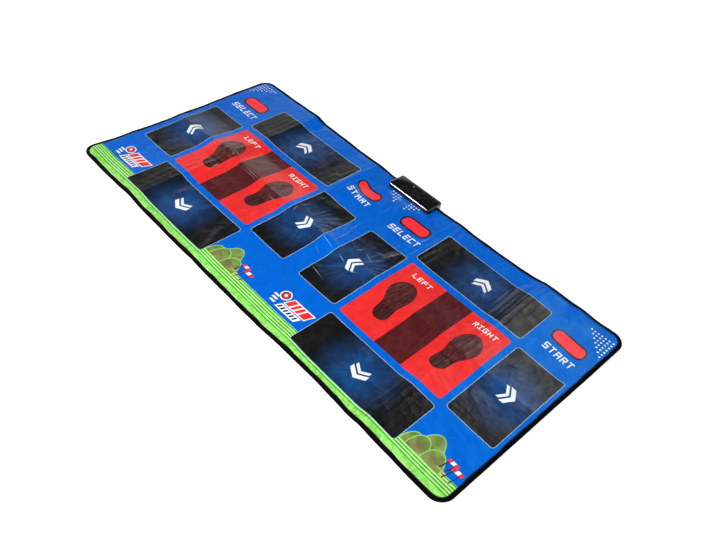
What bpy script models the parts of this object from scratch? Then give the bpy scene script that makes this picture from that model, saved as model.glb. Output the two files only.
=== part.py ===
"""Two-player running mat for a video game, with its control box on the back edge.

The mat is a stack of thin layers bound at the edge: a printed cover, a foam spacer, a film
with printed contacts and a bottom sheet. Each field has eight switch pads. A pad is a piece
of the cover's skin over a window in the foam, with a contact patch below it, and a foot
pushes it down through the window until the patch meets the film. The mat has been folded for
packing, and the folds still stand up as low ridges, which every layer follows.

Lengths are in metres. +X runs along the mat, +Y points to the edge with the control box and
+Z points up. The origin is on the floor, under the middle of the whole object.
"""

import math

import bmesh
import bpy
import numpy as np

# The mat as a whole
MAT_LENGTH = 1.700
MAT_WIDTH = 0.800
CORNER_RADIUS = 0.045
BACK_EDGE_BOW = 0.014
PRINT_OFFSET = 0.010

# Layers, from the floor up
BOTTOM_THICKNESS = 0.0010
FILM_THICKNESS = 0.0005
FOAM_THICKNESS = 0.0030
COVER_THICKNESS = 0.0012
CONTACT_THICKNESS = 0.0005
LAYER_GAP = 0.0003
CONTACT_MARGIN = 0.008
PAD_CLEARANCE = 0.0004

# Edge binding
BINDING_THICKNESS = 0.0006
BINDING_WIDTH = 0.011
BINDING_CHAMFER = 0.0006

# Folds that the packing left
CREASE_HEIGHT = 0.0062
CREASE_HALF_WIDTH = 0.085
CREASE_PLACES = (-0.531, -0.185, 0.216, 0.560)
LONG_CREASE_HEIGHT = 0.008
LONG_CREASE_HALF_WIDTH = 0.090
LONG_CREASE_PLACE = -0.014

# Pads of one field, and the margins and gaps round them
FRONT_MARGIN = 0.0395
BACK_MARGIN = 0.0885
SIDE_MARGIN = 0.037
PAD_ROW_GAP = 0.025
SIDE_PAD_GAP = 0.023
FOOT_FIELD_LENGTH = 0.402
STRIPE_WIDTH = 0.104
UP_PAD_WIDTH = 0.150
UP_PAD_CAPSULE_GAP = 0.043
DOWN_PAD_LENGTH = 0.415
DOWN_PAD_WIDTH = 0.155
PAD_CORNER_RADIUS = 0.009
CAPSULE_LENGTH = 0.118
CAPSULE_WIDTH = 0.053
CAPSULE_END_FLAT = 0.005
CAPSULE_SIDE_MARGIN = 0.054
CAPSULE_BACK_MARGIN = 0.1185

# Control box
BOX_LENGTH = 0.190
BOX_DEPTH = 0.072
BOX_PLACE = 0.012
BOX_OVERHANG = 0.001
BOX_WALL = 0.0018
BOX_CORNER_RADIUS = 0.010
BOX_TOP_ROUND = 0.0028
BOX_FOOT_ROUND = 0.0025
BOX_SPLIT_HEIGHT = 0.0115
BOX_SEAM = 0.0003
BOX_FLOOR = 0.0024
BOX_MAT_CLEARANCE = 0.0005
BOX_HEADROOM = 0.0003
BASE_LEDGE = 0.008
FIT_GAP = 0.0003

# Plate and screws that clamp the mat under the box
CLAMP_PLATE_INSET = 0.008
CLAMP_PLATE_WIDTH = 0.025
CLAMP_PLATE_RADIUS = 0.004
CLAMP_SETBACK = 0.024
CLAMP_SCREW_INSET = 0.017
CLAMP_SCREW_PITCH = 0.030
CLAMP_SCREW_RADIUS = 0.0013
CLAMP_HEAD_RADIUS = 0.0030
CLAMP_SCREW_DEPTH = 0.0034
CLAMP_BOSS_RADIUS = 0.0030
CLAMP_BOSS_HEIGHT = 0.0019

# Screws that hold the two halves of the box together
CASE_SCREW_INSET = 0.013
CASE_SCREW_RADIUS = 0.0013
CASE_HEAD_RADIUS = 0.0024
CASE_HEAD_HEIGHT = 0.0014
CASE_HEAD_RECESS = 0.0006
CASE_BOSS_RADIUS = 0.0041
CASE_BOSS_HEIGHT = 0.0085
CASE_SCREW_DEPTH = 0.0075

# Panel that closes the back of the box round the sockets
PANEL_SIDE = 0.009
PANEL_WEB = 0.0007
PANEL_LAP = 0.0015
PANEL_FLANGE = 0.0012
PANEL_RECESS = 0.0002

# Circuit board and what stands on it
BOARD_THICKNESS = 0.0016
BOARD_EDGE_GAP = 0.0012
BOARD_TAB_INSET = 0.030
BOARD_TAB_GAP = 0.0024
CHIP_LENGTH = 0.014
CHIP_HEIGHT = 0.0014
CHIP_REACH = 0.030
INDICATOR_REACH = -0.025
INDICATOR_SETBACK = 0.017
INDICATOR_RADIUS = 0.0020
VIDEO_LENGTH = 0.0150
VIDEO_HEIGHT = 0.0057
VIDEO_DEPTH = 0.0115
VIDEO_WALL = 0.0005
VIDEO_REACH = -0.020
POWER_LENGTH = 0.0090
POWER_HEIGHT = 0.0064
POWER_DEPTH = 0.0120
POWER_BORE_RADIUS = 0.0026
POWER_PIN_RADIUS = 0.0008
POWER_BORE_DEPTH = 0.0090
POWER_REACH = 0.030
SOCKET_RECESS = 0.0004
SWITCH_BODY_LENGTH = 0.0100
SWITCH_BODY_DEPTH = 0.0050
SWITCH_BODY_HEIGHT = 0.0042
SWITCH_SETBACK = 0.035
KNOB_LENGTH = 0.0030
KNOB_HEIGHT = 0.0026
KNOB_PROUD = 0.0018
KNOB_TRAVEL = 0.0030

# Printed tails that lead from the film to the board
TAIL_WIDTH = 0.020
TAIL_THICKNESS = 0.0004
TAIL_REACH = 0.018
TAIL_RUN = 0.014
TAIL_SETBACK = 0.020
TAIL_LANDING = 0.013
TAIL_CLEARANCE = 0.0008
TAIL_PAD_LENGTH = 0.062
TAIL_PAD_WIDTH = 0.0095

# Facets
PAD_CORNER_STEPS = 3
CONTACT_CORNER_STEPS = 1
PLATE_CORNER_STEPS = 2
MAT_CORNER_STEPS = 6
BACK_EDGE_STEPS = 12
BOX_CORNER_STEPS = 5
BOX_ROUND_STEPS = 3
ROUND_STEPS = 12
HOLE_STEPS = 8
SMOOTH_ANGLE = math.radians(40)
FLAT_ANGLE = math.radians(0.1)
FOLD_SNAP = 0.00001

# Levels that follow from the layers
FILM_LOW = BOTTOM_THICKNESS + LAYER_GAP
FILM_HIGH = FILM_LOW + FILM_THICKNESS
FOAM_LOW = FILM_HIGH + LAYER_GAP
FOAM_HIGH = FOAM_LOW + FOAM_THICKNESS
COVER_LOW = FOAM_HIGH + LAYER_GAP
COVER_HIGH = COVER_LOW + COVER_THICKNESS
BINDING_HIGH = COVER_HIGH + LAYER_GAP + BINDING_THICKNESS

# Pads: what follows from the mat, the margins and the gaps
FIELD_PITCH = MAT_LENGTH / 2
FOOT_FIELD_WIDTH = MAT_WIDTH - FRONT_MARGIN - DOWN_PAD_WIDTH - UP_PAD_WIDTH - BACK_MARGIN - 2 * PAD_ROW_GAP
FOOT_FIELD_PLACE = FRONT_MARGIN + DOWN_PAD_WIDTH + PAD_ROW_GAP + FOOT_FIELD_WIDTH / 2 - MAT_WIDTH / 2
SIDE_PAD_LENGTH = FIELD_PITCH / 2 - SIDE_MARGIN - SIDE_PAD_GAP - FOOT_FIELD_LENGTH / 2
CAPSULE_RADIUS = (CAPSULE_WIDTH - CAPSULE_END_FLAT) / 2
CAPSULE_REACH = FIELD_PITCH / 2 - CAPSULE_SIDE_MARGIN - CAPSULE_LENGTH / 2
CAPSULE_PLACE = MAT_WIDTH / 2 - CAPSULE_BACK_MARGIN - CAPSULE_WIDTH / 2
UP_PAD_LENGTH = 2 * (CAPSULE_REACH - CAPSULE_LENGTH / 2 - UP_PAD_CAPSULE_GAP)

# Box: what follows from the mat, the layers and what stands on the board
BOX_BACK = MAT_WIDTH / 2 + BOX_OVERHANG
BOX_FRONT = BOX_BACK - BOX_DEPTH
BOX_MIDDLE = BOX_BACK - BOX_DEPTH / 2
BOX_FLOOR_LOW = COVER_HIGH + LAYER_GAP
BOX_FLOOR_HIGH = BOX_FLOOR_LOW + BOX_FLOOR
BOARD_LOW = BOX_FLOOR_HIGH + CLAMP_BOSS_HEIGHT + FIT_GAP
BOARD_HIGH = BOARD_LOW + BOARD_THICKNESS
ON_BOARD = BOARD_HIGH + FIT_GAP
PANEL_TOP = ON_BOARD + max(VIDEO_HEIGHT, POWER_HEIGHT) + FIT_GAP + PANEL_WEB
ROOF_LOW = PANEL_TOP + FIT_GAP + BOX_HEADROOM
BOX_HEIGHT = ROOF_LOW + BOX_WALL
CLAMP_PLATE_LENGTH = BOX_LENGTH - 2 * CLAMP_PLATE_INSET
CLAMP_PLACE = BOX_FRONT + CLAMP_SETBACK
CASE_SCREW_REACH = BOX_LENGTH / 2 - CASE_SCREW_INSET
BOARD_TAB_LENGTH = BOX_LENGTH - 2 * BOARD_TAB_INSET
INDICATOR_PLACE = (BOX_PLACE + INDICATOR_REACH, BOX_BACK - INDICATOR_SETBACK)
SWITCH_PLACE = BOX_FRONT + SWITCH_SETBACK
TAIL_RISE_PLACE = BOX_FRONT + TAIL_SETBACK
ORIGIN_SHIFT = (max(BOX_BACK, MAT_WIDTH / 2) - MAT_WIDTH / 2) / 2

# Colours: red, green, blue, then roughness and metallic
BLUE_PRINT = ((0.012, 0.100, 0.620), 0.35, 0.0)
PAD_BLACK = ((0.010, 0.012, 0.018), 0.22, 0.0)
FOOT_RED = ((0.800, 0.030, 0.030), 0.32, 0.0)
BUTTON_RED = ((0.820, 0.045, 0.040), 0.32, 0.0)
BINDING_BLACK = ((0.012, 0.012, 0.014), 0.75, 0.0)
FOAM_GREY = ((0.560, 0.560, 0.540), 0.95, 0.0)
FILM_CLEAR = ((0.720, 0.740, 0.720), 0.30, 0.0)
CARBON_INK = ((0.030, 0.030, 0.032), 0.60, 0.0)
BOTTOM_GREY = ((0.060, 0.062, 0.066), 0.85, 0.0)
CASE_BLACK = ((0.008, 0.008, 0.010), 0.08, 0.0)
BOARD_GREEN = ((0.010, 0.130, 0.045), 0.35, 0.0)
PART_BLACK = ((0.018, 0.018, 0.020), 0.45, 0.0)
STEEL = ((0.620, 0.620, 0.640), 0.28, 1.0)
LENS_GREY = ((0.450, 0.460, 0.480), 0.15, 0.0)
PAD_RUBBER = ((0.220, 0.220, 0.230), 0.80, 0.0)


def clear_scene():
    """Take every object out of the scene."""
    for obj in list(bpy.data.objects):
        bpy.data.objects.remove(obj, do_unlink=True)


def material(name, look):
    """A Principled BSDF material for one piece."""
    colour, roughness, metallic = look
    mat = bpy.data.materials.new(name)
    mat.use_nodes = True
    shader = mat.node_tree.nodes["Principled BSDF"]
    shader.inputs["Base Color"].default_value = (*colour, 1.0)
    shader.inputs["Roughness"].default_value = roughness
    shader.inputs["Metallic"].default_value = metallic
    return mat


def place(bm, name, look, origin=(0.0, 0.0, 0.0), smooth=False):
    """Make an object of the mesh, with its origin at the given point of the mat."""
    bmesh.ops.recalc_face_normals(bm, faces=bm.faces[:])
    bmesh.ops.translate(bm, verts=bm.verts[:], vec=[-c for c in origin])
    mesh = bpy.data.meshes.new(name)
    bm.to_mesh(mesh)
    bm.free()
    if smooth:
        mesh.shade_smooth()
        mesh.set_sharp_from_angle(angle=SMOOTH_ANGLE)
    obj = bpy.data.objects.new(name, mesh)
    bpy.context.collection.objects.link(obj)
    obj.parent = bpy.data.objects["mat_frame"]
    obj.location = origin
    if look:
        mesh.materials.append(material(name, look))
    return obj


def guide(bm, name):
    """A shape that only cuts or joins another one."""
    obj = place(bm, name, None)
    obj.hide_render = True
    obj.display_type = "WIRE"
    return obj


def combine(obj, tool, operation):
    """Cut the tool's shape out of the object, or join it on."""
    modifier = obj.modifiers.new(tool.name, "BOOLEAN")
    modifier.operation = operation
    modifier.object = tool
    modifier.solver = "EXACT"


# Outlines in the plane of the mat

def rounded_rectangle(x, y, length, width, radius, steps):
    """Points anticlockwise round a rectangle about (x, y), with each corner an arc of equal steps."""
    reach_x = length / 2 - radius
    reach_y = width / 2 - radius
    centres = ((reach_x, reach_y), (-reach_x, reach_y), (-reach_x, -reach_y), (reach_x, -reach_y))
    points = []
    for quarter, (cx, cy) in enumerate(centres):
        for step in range(steps + 1):
            angle = math.radians(90) * (quarter + step / steps)
            points.append((x + cx + radius * math.cos(angle), y + cy + radius * math.sin(angle)))
    return points


def circle(x, y, radius, steps):
    """Points anticlockwise round a circle."""
    turns = [math.tau * step / steps for step in range(steps)]
    return [(x + radius * math.cos(a), y + radius * math.sin(a)) for a in turns]


def back_edge(x):
    """Distance of the bound back edge from the mat's centre line: it is drawn in at its middle."""
    span = MAT_LENGTH - 2 * CORNER_RADIUS
    drawn_in = BACK_EDGE_BOW * math.cos(math.pi * x / span) ** 2 if abs(x) < span / 2 else 0.0
    return MAT_WIDTH / 2 - drawn_in


def mat_outline(inset):
    """The mat's outline, moved inwards by the inset: round corners and a back edge drawn in."""
    corners = rounded_rectangle(0, 0, MAT_LENGTH - 2 * inset, MAT_WIDTH - 2 * inset,
                                CORNER_RADIUS - inset, MAT_CORNER_STEPS)
    back_right = corners[:MAT_CORNER_STEPS + 1]
    rest = corners[MAT_CORNER_STEPS + 1:]
    reach = MAT_LENGTH / 2 - CORNER_RADIUS
    places = np.linspace(reach, -reach, BACK_EDGE_STEPS + 1)[1:-1]
    return back_right + [(x, back_edge(x) - inset) for x in places.tolist()] + rest


# Folds

def crease_places():
    """Where the facets of the folds meet: along X, then along Y."""
    across = [x + side for x in CREASE_PLACES for side in (-CREASE_HALF_WIDTH, 0, CREASE_HALF_WIDTH)]
    along = [LONG_CREASE_PLACE + side for side in (-LONG_CREASE_HALF_WIDTH, 0, LONG_CREASE_HALF_WIDTH)]
    return across, along


def fold_lift(x, y):
    """How far the folds lift the layers at a point: each ridge is a tent with straight sides."""
    lift = max(0.0, 1 - abs(y - LONG_CREASE_PLACE) / LONG_CREASE_HALF_WIDTH) * LONG_CREASE_HEIGHT
    for crease in CREASE_PLACES:
        lift += max(0.0, 1 - abs(x - crease) / CREASE_HALF_WIDTH) * CREASE_HEIGHT
    return lift


def follow_folds(bm):
    """Cut the mesh along the folds and lift it, so that layers above each other stay parallel."""
    across, along = crease_places()
    for axis, places in enumerate((across, along)):
        normal = (1 - axis, axis, 0)
        for level in places:
            everything = bm.verts[:] + bm.edges[:] + bm.faces[:]
            point = [level * side for side in normal]
            bmesh.ops.bisect_plane(bm, geom=everything, dist=FOLD_SNAP, plane_co=point, plane_no=normal)
            for edge in bm.edges:
                if all(abs(vert.co[axis] - level) < 2 * FOLD_SNAP for vert in edge.verts):
                    edge.seam = True
    bmesh.ops.dissolve_limit(bm, angle_limit=FLAT_ANGLE, verts=bm.verts[:], edges=bm.edges[:],
                             delimit={"SEAM"})
    for vert in bm.verts:
        vert.co.z += fold_lift(vert.co.x, vert.co.y)
    bmesh.ops.triangulate(bm, faces=bm.faces[:])


def layer(name, low, high, outer, holes, look, origin=(0.0, 0.0)):
    """One layer of the mat, from its outline and the outlines of its holes."""
    bm = bmesh.new()
    for outline in [outer, *holes]:
        verts = [bm.verts.new((x, y, 0)) for x, y in outline]
        for first, second in zip(verts, verts[1:] + verts[:1]):
            bm.edges.new((first, second))
    bmesh.ops.triangle_fill(bm, use_beauty=True, edges=bm.edges[:])
    follow_folds(bm)
    bmesh.ops.translate(bm, verts=bm.verts[:], vec=(0, 0, low))
    grown = bmesh.ops.extrude_face_region(bm, geom=bm.faces[:])
    raised = [item for item in grown["geom"] if isinstance(item, bmesh.types.BMVert)]
    bmesh.ops.translate(bm, verts=raised, vec=(0, 0, high - low))
    return place(bm, name, look, origin=(*origin, low))


# Solids of the control box

def rings_solid(rings):
    """A closed mesh through rings with equal numbers of points, capped at both ends."""
    bm = bmesh.new()
    loops = [[bm.verts.new(point) for point in ring] for ring in rings]
    for lower, upper in zip(loops, loops[1:]):
        count = len(lower)
        for i in range(count):
            j = (i + 1) % count
            bm.faces.new((lower[i], lower[j], upper[j], upper[i]))
    bm.faces.new(loops[0])
    bm.faces.new(loops[-1])
    return bm


def box_solid(low, high):
    """A box between two corners."""
    corners = [(low[0], low[1]), (high[0], low[1]), (high[0], high[1]), (low[0], high[1])]
    return rings_solid([[(x, y, z) for x, y in corners] for z in (low[2], high[2])])


def upright_solid(outline, low, high):
    """An outline carried straight up."""
    return rings_solid([[(x, y, z) for x, y in outline] for z in (low, high)])


def sideways_solid(profile, left, right):
    """A profile of (y, z) points carried along the mat."""
    return rings_solid([[(x, y, z) for y, z in profile] for x in (left, right)])


def turned_solid(x, y, profile, steps=ROUND_STEPS):
    """A profile of (radius, z) points turned about an upright axis."""
    return rings_solid([[(px, py, z) for px, py in circle(x, y, radius, steps)] for radius, z in profile])


def box_ring(inset, z):
    """The box's outline at a height, moved inwards by the inset."""
    outline = rounded_rectangle(BOX_PLACE, BOX_MIDDLE, BOX_LENGTH - 2 * inset, BOX_DEPTH - 2 * inset,
                                BOX_CORNER_RADIUS - inset, BOX_CORNER_STEPS)
    return [(x, y, z) for x, y in outline]


def box_top_edge():
    """Rings of the rounded edge between the box's wall and its top."""
    rings = []
    for step in range(BOX_ROUND_STEPS + 1):
        angle = math.radians(90) * step / BOX_ROUND_STEPS
        inset = BOX_TOP_ROUND * (1 - math.cos(angle))
        rings.append(box_ring(inset, BOX_HEIGHT - BOX_TOP_ROUND * (1 - math.sin(angle))))
    return rings


def box_foot_edge():
    """Rings of the rounded edge between the box's underside and its wall."""
    rings = []
    for step in range(BOX_ROUND_STEPS + 1):
        angle = math.radians(90) * step / BOX_ROUND_STEPS
        inset = BOX_FOOT_ROUND * (1 - math.sin(angle))
        rings.append(box_ring(inset, BOX_FOOT_ROUND * (1 - math.cos(angle))))
    return rings


def box_step():
    """Where the box steps down to the floor behind the mat's bound edge."""
    ends = (BOX_PLACE - BOX_LENGTH / 2, BOX_PLACE + BOX_LENGTH / 2)
    return max(back_edge(x) for x in ends) + BOX_MAT_CLEARANCE


def clamp_screw_places():
    """Centres of the screws that clamp the mat, a pair at each end of the box."""
    outer = BOX_LENGTH / 2 - CLAMP_SCREW_INSET
    inner = outer - CLAMP_SCREW_PITCH
    return [(BOX_PLACE + reach, CLAMP_PLACE) for reach in (-outer, -inner, inner, outer)]


def case_screw_places():
    """Centres of the screws of the case, in the well behind the mat's edge."""
    well_middle = (box_step() + BOX_BACK) / 2
    return [(BOX_PLACE + side * CASE_SCREW_REACH, well_middle) for side in (-1, 1)]


def tail_places():
    """Centres of the printed tails, along X."""
    return [BOX_PLACE - TAIL_REACH, BOX_PLACE + TAIL_REACH]


def socket_places():
    """Each socket: name, middle along X, length and height."""
    return [("video", BOX_PLACE + VIDEO_REACH, VIDEO_LENGTH, VIDEO_HEIGHT),
            ("power", BOX_PLACE + POWER_REACH, POWER_LENGTH, POWER_HEIGHT)]


def panel_ends():
    """Where the panel round the sockets starts and ends, along X."""
    left = min(middle - length / 2 for _, middle, length, _ in socket_places())
    right = max(middle + length / 2 for _, middle, length, _ in socket_places())
    return left - PANEL_SIDE, right + PANEL_SIDE


def tail_slot(centre, front, back):
    """Outline of the slot that a tail passes through."""
    width = TAIL_WIDTH + 2 * TAIL_CLEARANCE
    return [(centre - width / 2, front), (centre + width / 2, front),
            (centre + width / 2, back), (centre - width / 2, back)]


# Pads

def field_pads():
    """Each pad of a field: name, centre, length, width, corner radius and look."""
    foot_length = (FOOT_FIELD_LENGTH - STRIPE_WIDTH) / 2
    foot_reach = (STRIPE_WIDTH + foot_length) / 2
    up = FOOT_FIELD_PLACE + FOOT_FIELD_WIDTH / 2 + PAD_ROW_GAP + UP_PAD_WIDTH / 2
    down = FOOT_FIELD_PLACE - FOOT_FIELD_WIDTH / 2 - PAD_ROW_GAP - DOWN_PAD_WIDTH / 2
    side = FOOT_FIELD_LENGTH / 2 + SIDE_PAD_GAP + SIDE_PAD_LENGTH / 2
    pads = [
        ("up", (0, up), UP_PAD_LENGTH, UP_PAD_WIDTH, PAD_CORNER_RADIUS, PAD_BLACK),
        ("down", (0, down), DOWN_PAD_LENGTH, DOWN_PAD_WIDTH, PAD_CORNER_RADIUS, PAD_BLACK),
    ]
    for name, sign in (("left", -1), ("right", 1)):
        pads.append((name, (sign * side, FOOT_FIELD_PLACE), SIDE_PAD_LENGTH, FOOT_FIELD_WIDTH,
                     PAD_CORNER_RADIUS, PAD_BLACK))
        pads.append((name + "_foot", (sign * foot_reach, FOOT_FIELD_PLACE), foot_length, FOOT_FIELD_WIDTH,
                     PAD_CORNER_RADIUS, FOOT_RED))
    for name, sign in (("select", -1), ("start", 1)):
        pads.append((name, (sign * CAPSULE_REACH, CAPSULE_PLACE), CAPSULE_LENGTH, CAPSULE_WIDTH,
                     CAPSULE_RADIUS, BUTTON_RED))
    return pads


def all_pads():
    """The pads of both fields, in the mat's own frame."""
    pads = []
    for player, sign in (("p1", -1), ("p2", 1)):
        field = PRINT_OFFSET + sign * FIELD_PITCH / 2
        for name, (x, y), *sizes in field_pads():
            pads.append((f"{player}_{name}", (field + x, y), *sizes))
    return pads


def pad_windows():
    """Outlines of the windows in the cover and the foam."""
    return [rounded_rectangle(*centre, length, width, radius, PAD_CORNER_STEPS)
            for _, centre, length, width, radius, _ in all_pads()]


def make_pads():
    """The sixteen pads and the contact patch under each of them."""
    for name, centre, length, width, radius, look in all_pads():
        skin = rounded_rectangle(*centre, length - 2 * PAD_CLEARANCE, width - 2 * PAD_CLEARANCE,
                                 radius - PAD_CLEARANCE, PAD_CORNER_STEPS)
        layer(f"{name}_pad", COVER_LOW, COVER_HIGH, skin, [], look, origin=centre)
        patch = rounded_rectangle(*centre, length - 2 * CONTACT_MARGIN, width - 2 * CONTACT_MARGIN,
                                  max(radius - CONTACT_MARGIN, PAD_CLEARANCE), CONTACT_CORNER_STEPS)
        contact_high = COVER_LOW - LAYER_GAP
        layer(f"{name}_contact", contact_high - CONTACT_THICKNESS, contact_high, patch, [], CARBON_INK,
              origin=centre)


# Layers of the mat

def screw_holes():
    """Outlines of the holes for the clamp screws."""
    return [circle(*centre, CLAMP_SCREW_RADIUS + FIT_GAP, HOLE_STEPS) for centre in clamp_screw_places()]


def make_layers():
    """Bottom sheet, film, foam and cover."""
    inside_binding = BINDING_THICKNESS + LAYER_GAP
    plate_hole = rounded_rectangle(BOX_PLACE, CLAMP_PLACE, CLAMP_PLATE_LENGTH + 2 * FIT_GAP,
                                   CLAMP_PLATE_WIDTH + 2 * FIT_GAP, CLAMP_PLATE_RADIUS, PLATE_CORNER_STEPS)
    layer("bottom_sheet", 0.0, BOTTOM_THICKNESS, mat_outline(BINDING_WIDTH + LAYER_GAP), [plate_hole],
          BOTTOM_GREY)
    layer("lower_film", FILM_LOW, FILM_HIGH, mat_outline(inside_binding), screw_holes(), FILM_CLEAR)
    tail_back = TAIL_RISE_PLACE + TAIL_THICKNESS + TAIL_CLEARANCE
    runs = [tail_slot(x, TAIL_RISE_PLACE - TAIL_RUN - TAIL_CLEARANCE, tail_back) for x in tail_places()]
    layer("foam_spacer", FOAM_LOW, FOAM_HIGH, mat_outline(inside_binding),
          pad_windows() + screw_holes() + runs, FOAM_GREY)
    slits = [tail_slot(x, TAIL_RISE_PLACE - TAIL_CLEARANCE, tail_back) for x in tail_places()]
    layer("top_cover", COVER_LOW, COVER_HIGH, mat_outline(inside_binding),
          pad_windows() + screw_holes() + slits, BLUE_PRINT)


def make_binding():
    """The tape that wraps the edge, with a leg above the cover and a leg beside the bottom sheet."""
    leg_high = BINDING_HIGH - BINDING_THICKNESS
    profile = [
        (BINDING_WIDTH, 0.0),
        (BINDING_CHAMFER, 0.0),
        (0.0, BINDING_CHAMFER),
        (0.0, BINDING_HIGH - BINDING_CHAMFER),
        (BINDING_CHAMFER, BINDING_HIGH),
        (BINDING_WIDTH, BINDING_HIGH),
        (BINDING_WIDTH, leg_high),
        (BINDING_THICKNESS, leg_high),
        (BINDING_THICKNESS, BOTTOM_THICKNESS),
        (BINDING_WIDTH, BOTTOM_THICKNESS),
    ]
    bm = bmesh.new()
    loops = [[bm.verts.new((x, y, z)) for x, y in mat_outline(inset)] for inset, z in profile]
    for inner, outer in zip(loops, loops[1:] + loops[:1]):
        count = len(inner)
        for i in range(count):
            j = (i + 1) % count
            bm.faces.new((inner[i], inner[j], outer[j], outer[i]))
    follow_folds(bm)
    place(bm, "edge_binding", BINDING_BLACK)


# Clamp under the mat

def make_clamp():
    """Plate in a window of the bottom sheet, and the screws that draw the box down onto the mat."""
    outline = rounded_rectangle(BOX_PLACE, CLAMP_PLACE, CLAMP_PLATE_LENGTH, CLAMP_PLATE_WIDTH,
                                CLAMP_PLATE_RADIUS, PLATE_CORNER_STEPS)
    plate = place(upright_solid(outline, 0.0, BOTTOM_THICKNESS), "clamp_plate", STEEL)
    screw = [
        (CLAMP_HEAD_RADIUS, 0.0),
        (CLAMP_SCREW_RADIUS, BOTTOM_THICKNESS),
        (CLAMP_SCREW_RADIUS, BOX_FLOOR_LOW + CLAMP_SCREW_DEPTH),
    ]
    widening = FIT_GAP * (CLAMP_HEAD_RADIUS - CLAMP_SCREW_RADIUS) / BOTTOM_THICKNESS
    sink = [
        (CLAMP_HEAD_RADIUS + FIT_GAP + widening, -FIT_GAP),
        (CLAMP_SCREW_RADIUS + FIT_GAP, BOTTOM_THICKNESS),
        (CLAMP_SCREW_RADIUS + FIT_GAP, BOTTOM_THICKNESS + FIT_GAP),
    ]
    for number, (x, y) in enumerate(clamp_screw_places(), start=1):
        place(turned_solid(x, y, screw), f"clamp_screw_{number}", STEEL, smooth=True)
        combine(plate, guide(turned_solid(x, y, sink), f"clamp_sink_{number}"), "DIFFERENCE")


# Control box

def make_case_base():
    """Lower half of the box: it sits on the mat's margin and steps down to the floor behind it."""
    split = BOX_SPLIT_HEIGHT - BOX_SEAM
    base = place(rings_solid(box_foot_edge() + [box_ring(0, split)]), "console_base", CASE_BLACK, smooth=True)
    step = box_step()
    left = BOX_PLACE - BOX_LENGTH / 2
    right = BOX_PLACE + BOX_LENGTH / 2
    margin = BOX_WALL
    tape_inner = back_edge(0) - BINDING_WIDTH - BOX_MAT_CLEARANCE
    over_tape = BINDING_HIGH + LAYER_GAP
    below = -BOX_WALL
    mat_room = [
        (BOX_FRONT - margin, below),
        (step, below),
        (step, over_tape),
        (tape_inner, over_tape),
        (tape_inner, BOX_FLOOR_LOW),
        (BOX_FRONT - margin, BOX_FLOOR_LOW),
    ]
    room = guide(sideways_solid(mat_room, left - margin, right + margin), "mat_room")
    combine(base, room, "DIFFERENCE")
    hollow_profile = [
        (BOX_FRONT + BOX_WALL, BOX_FLOOR_HIGH),
        (step + BOX_WALL, BOX_FLOOR_HIGH),
        (step + BOX_WALL, BOX_WALL),
        (BOX_BACK - BOX_WALL, BOX_WALL),
        (BOX_BACK - BOX_WALL, BOX_HEIGHT),
        (BOX_FRONT + BOX_WALL, BOX_HEIGHT),
    ]
    hollow = guide(sideways_solid(hollow_profile, left + BASE_LEDGE, right - BASE_LEDGE), "base_hollow")
    combine(base, hollow, "DIFFERENCE")
    add_clamp_bosses(base)
    add_case_bosses(base)
    for number, x in enumerate(tail_places(), start=1):
        outline = tail_slot(x, TAIL_RISE_PLACE - TAIL_CLEARANCE,
                            TAIL_RISE_PLACE + TAIL_THICKNESS + TAIL_CLEARANCE)
        slot = guide(upright_solid(outline, BOX_FLOOR_LOW - BOX_WALL, BOX_FLOOR_HIGH + BOX_WALL / 2),
                     f"base_slot_{number}")
        combine(base, slot, "DIFFERENCE")


def add_clamp_bosses(base):
    """Bosses that take the clamp screws and carry the board."""
    inside = BOX_FLOOR / 2
    top = BOX_FLOOR_HIGH + CLAMP_BOSS_HEIGHT
    for number, (x, y) in enumerate(clamp_screw_places(), start=1):
        boss = turned_solid(x, y, [(CLAMP_BOSS_RADIUS, BOX_FLOOR_HIGH - inside), (CLAMP_BOSS_RADIUS, top)])
        combine(base, guide(boss, f"clamp_boss_{number}"), "UNION")
        radius = CLAMP_SCREW_RADIUS + FIT_GAP
        end = BOX_FLOOR_LOW + CLAMP_SCREW_DEPTH + FIT_GAP
        bore = turned_solid(x, y, [(radius, BOX_FLOOR_LOW - inside), (radius, end)])
        combine(base, guide(bore, f"clamp_bore_{number}"), "DIFFERENCE")


def add_case_bosses(base):
    """Bosses in the well, bored for the case screws and sunk for their heads."""
    head_top = CASE_HEAD_RECESS + CASE_HEAD_HEIGHT + FIT_GAP
    sink = CASE_HEAD_RADIUS + FIT_GAP
    radius = CASE_SCREW_RADIUS + FIT_GAP
    for number, (x, y) in enumerate(case_screw_places(), start=1):
        boss = turned_solid(x, y, [(CASE_BOSS_RADIUS, BOX_WALL / 2), (CASE_BOSS_RADIUS, CASE_BOSS_HEIGHT)])
        combine(base, guide(boss, f"case_boss_{number}"), "UNION")
        bore = [(sink, -BOX_WALL), (sink, head_top), (radius, head_top),
                (radius, CASE_BOSS_HEIGHT + BOX_WALL)]
        combine(base, guide(turned_solid(x, y, bore), f"case_bore_{number}"), "DIFFERENCE")


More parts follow.
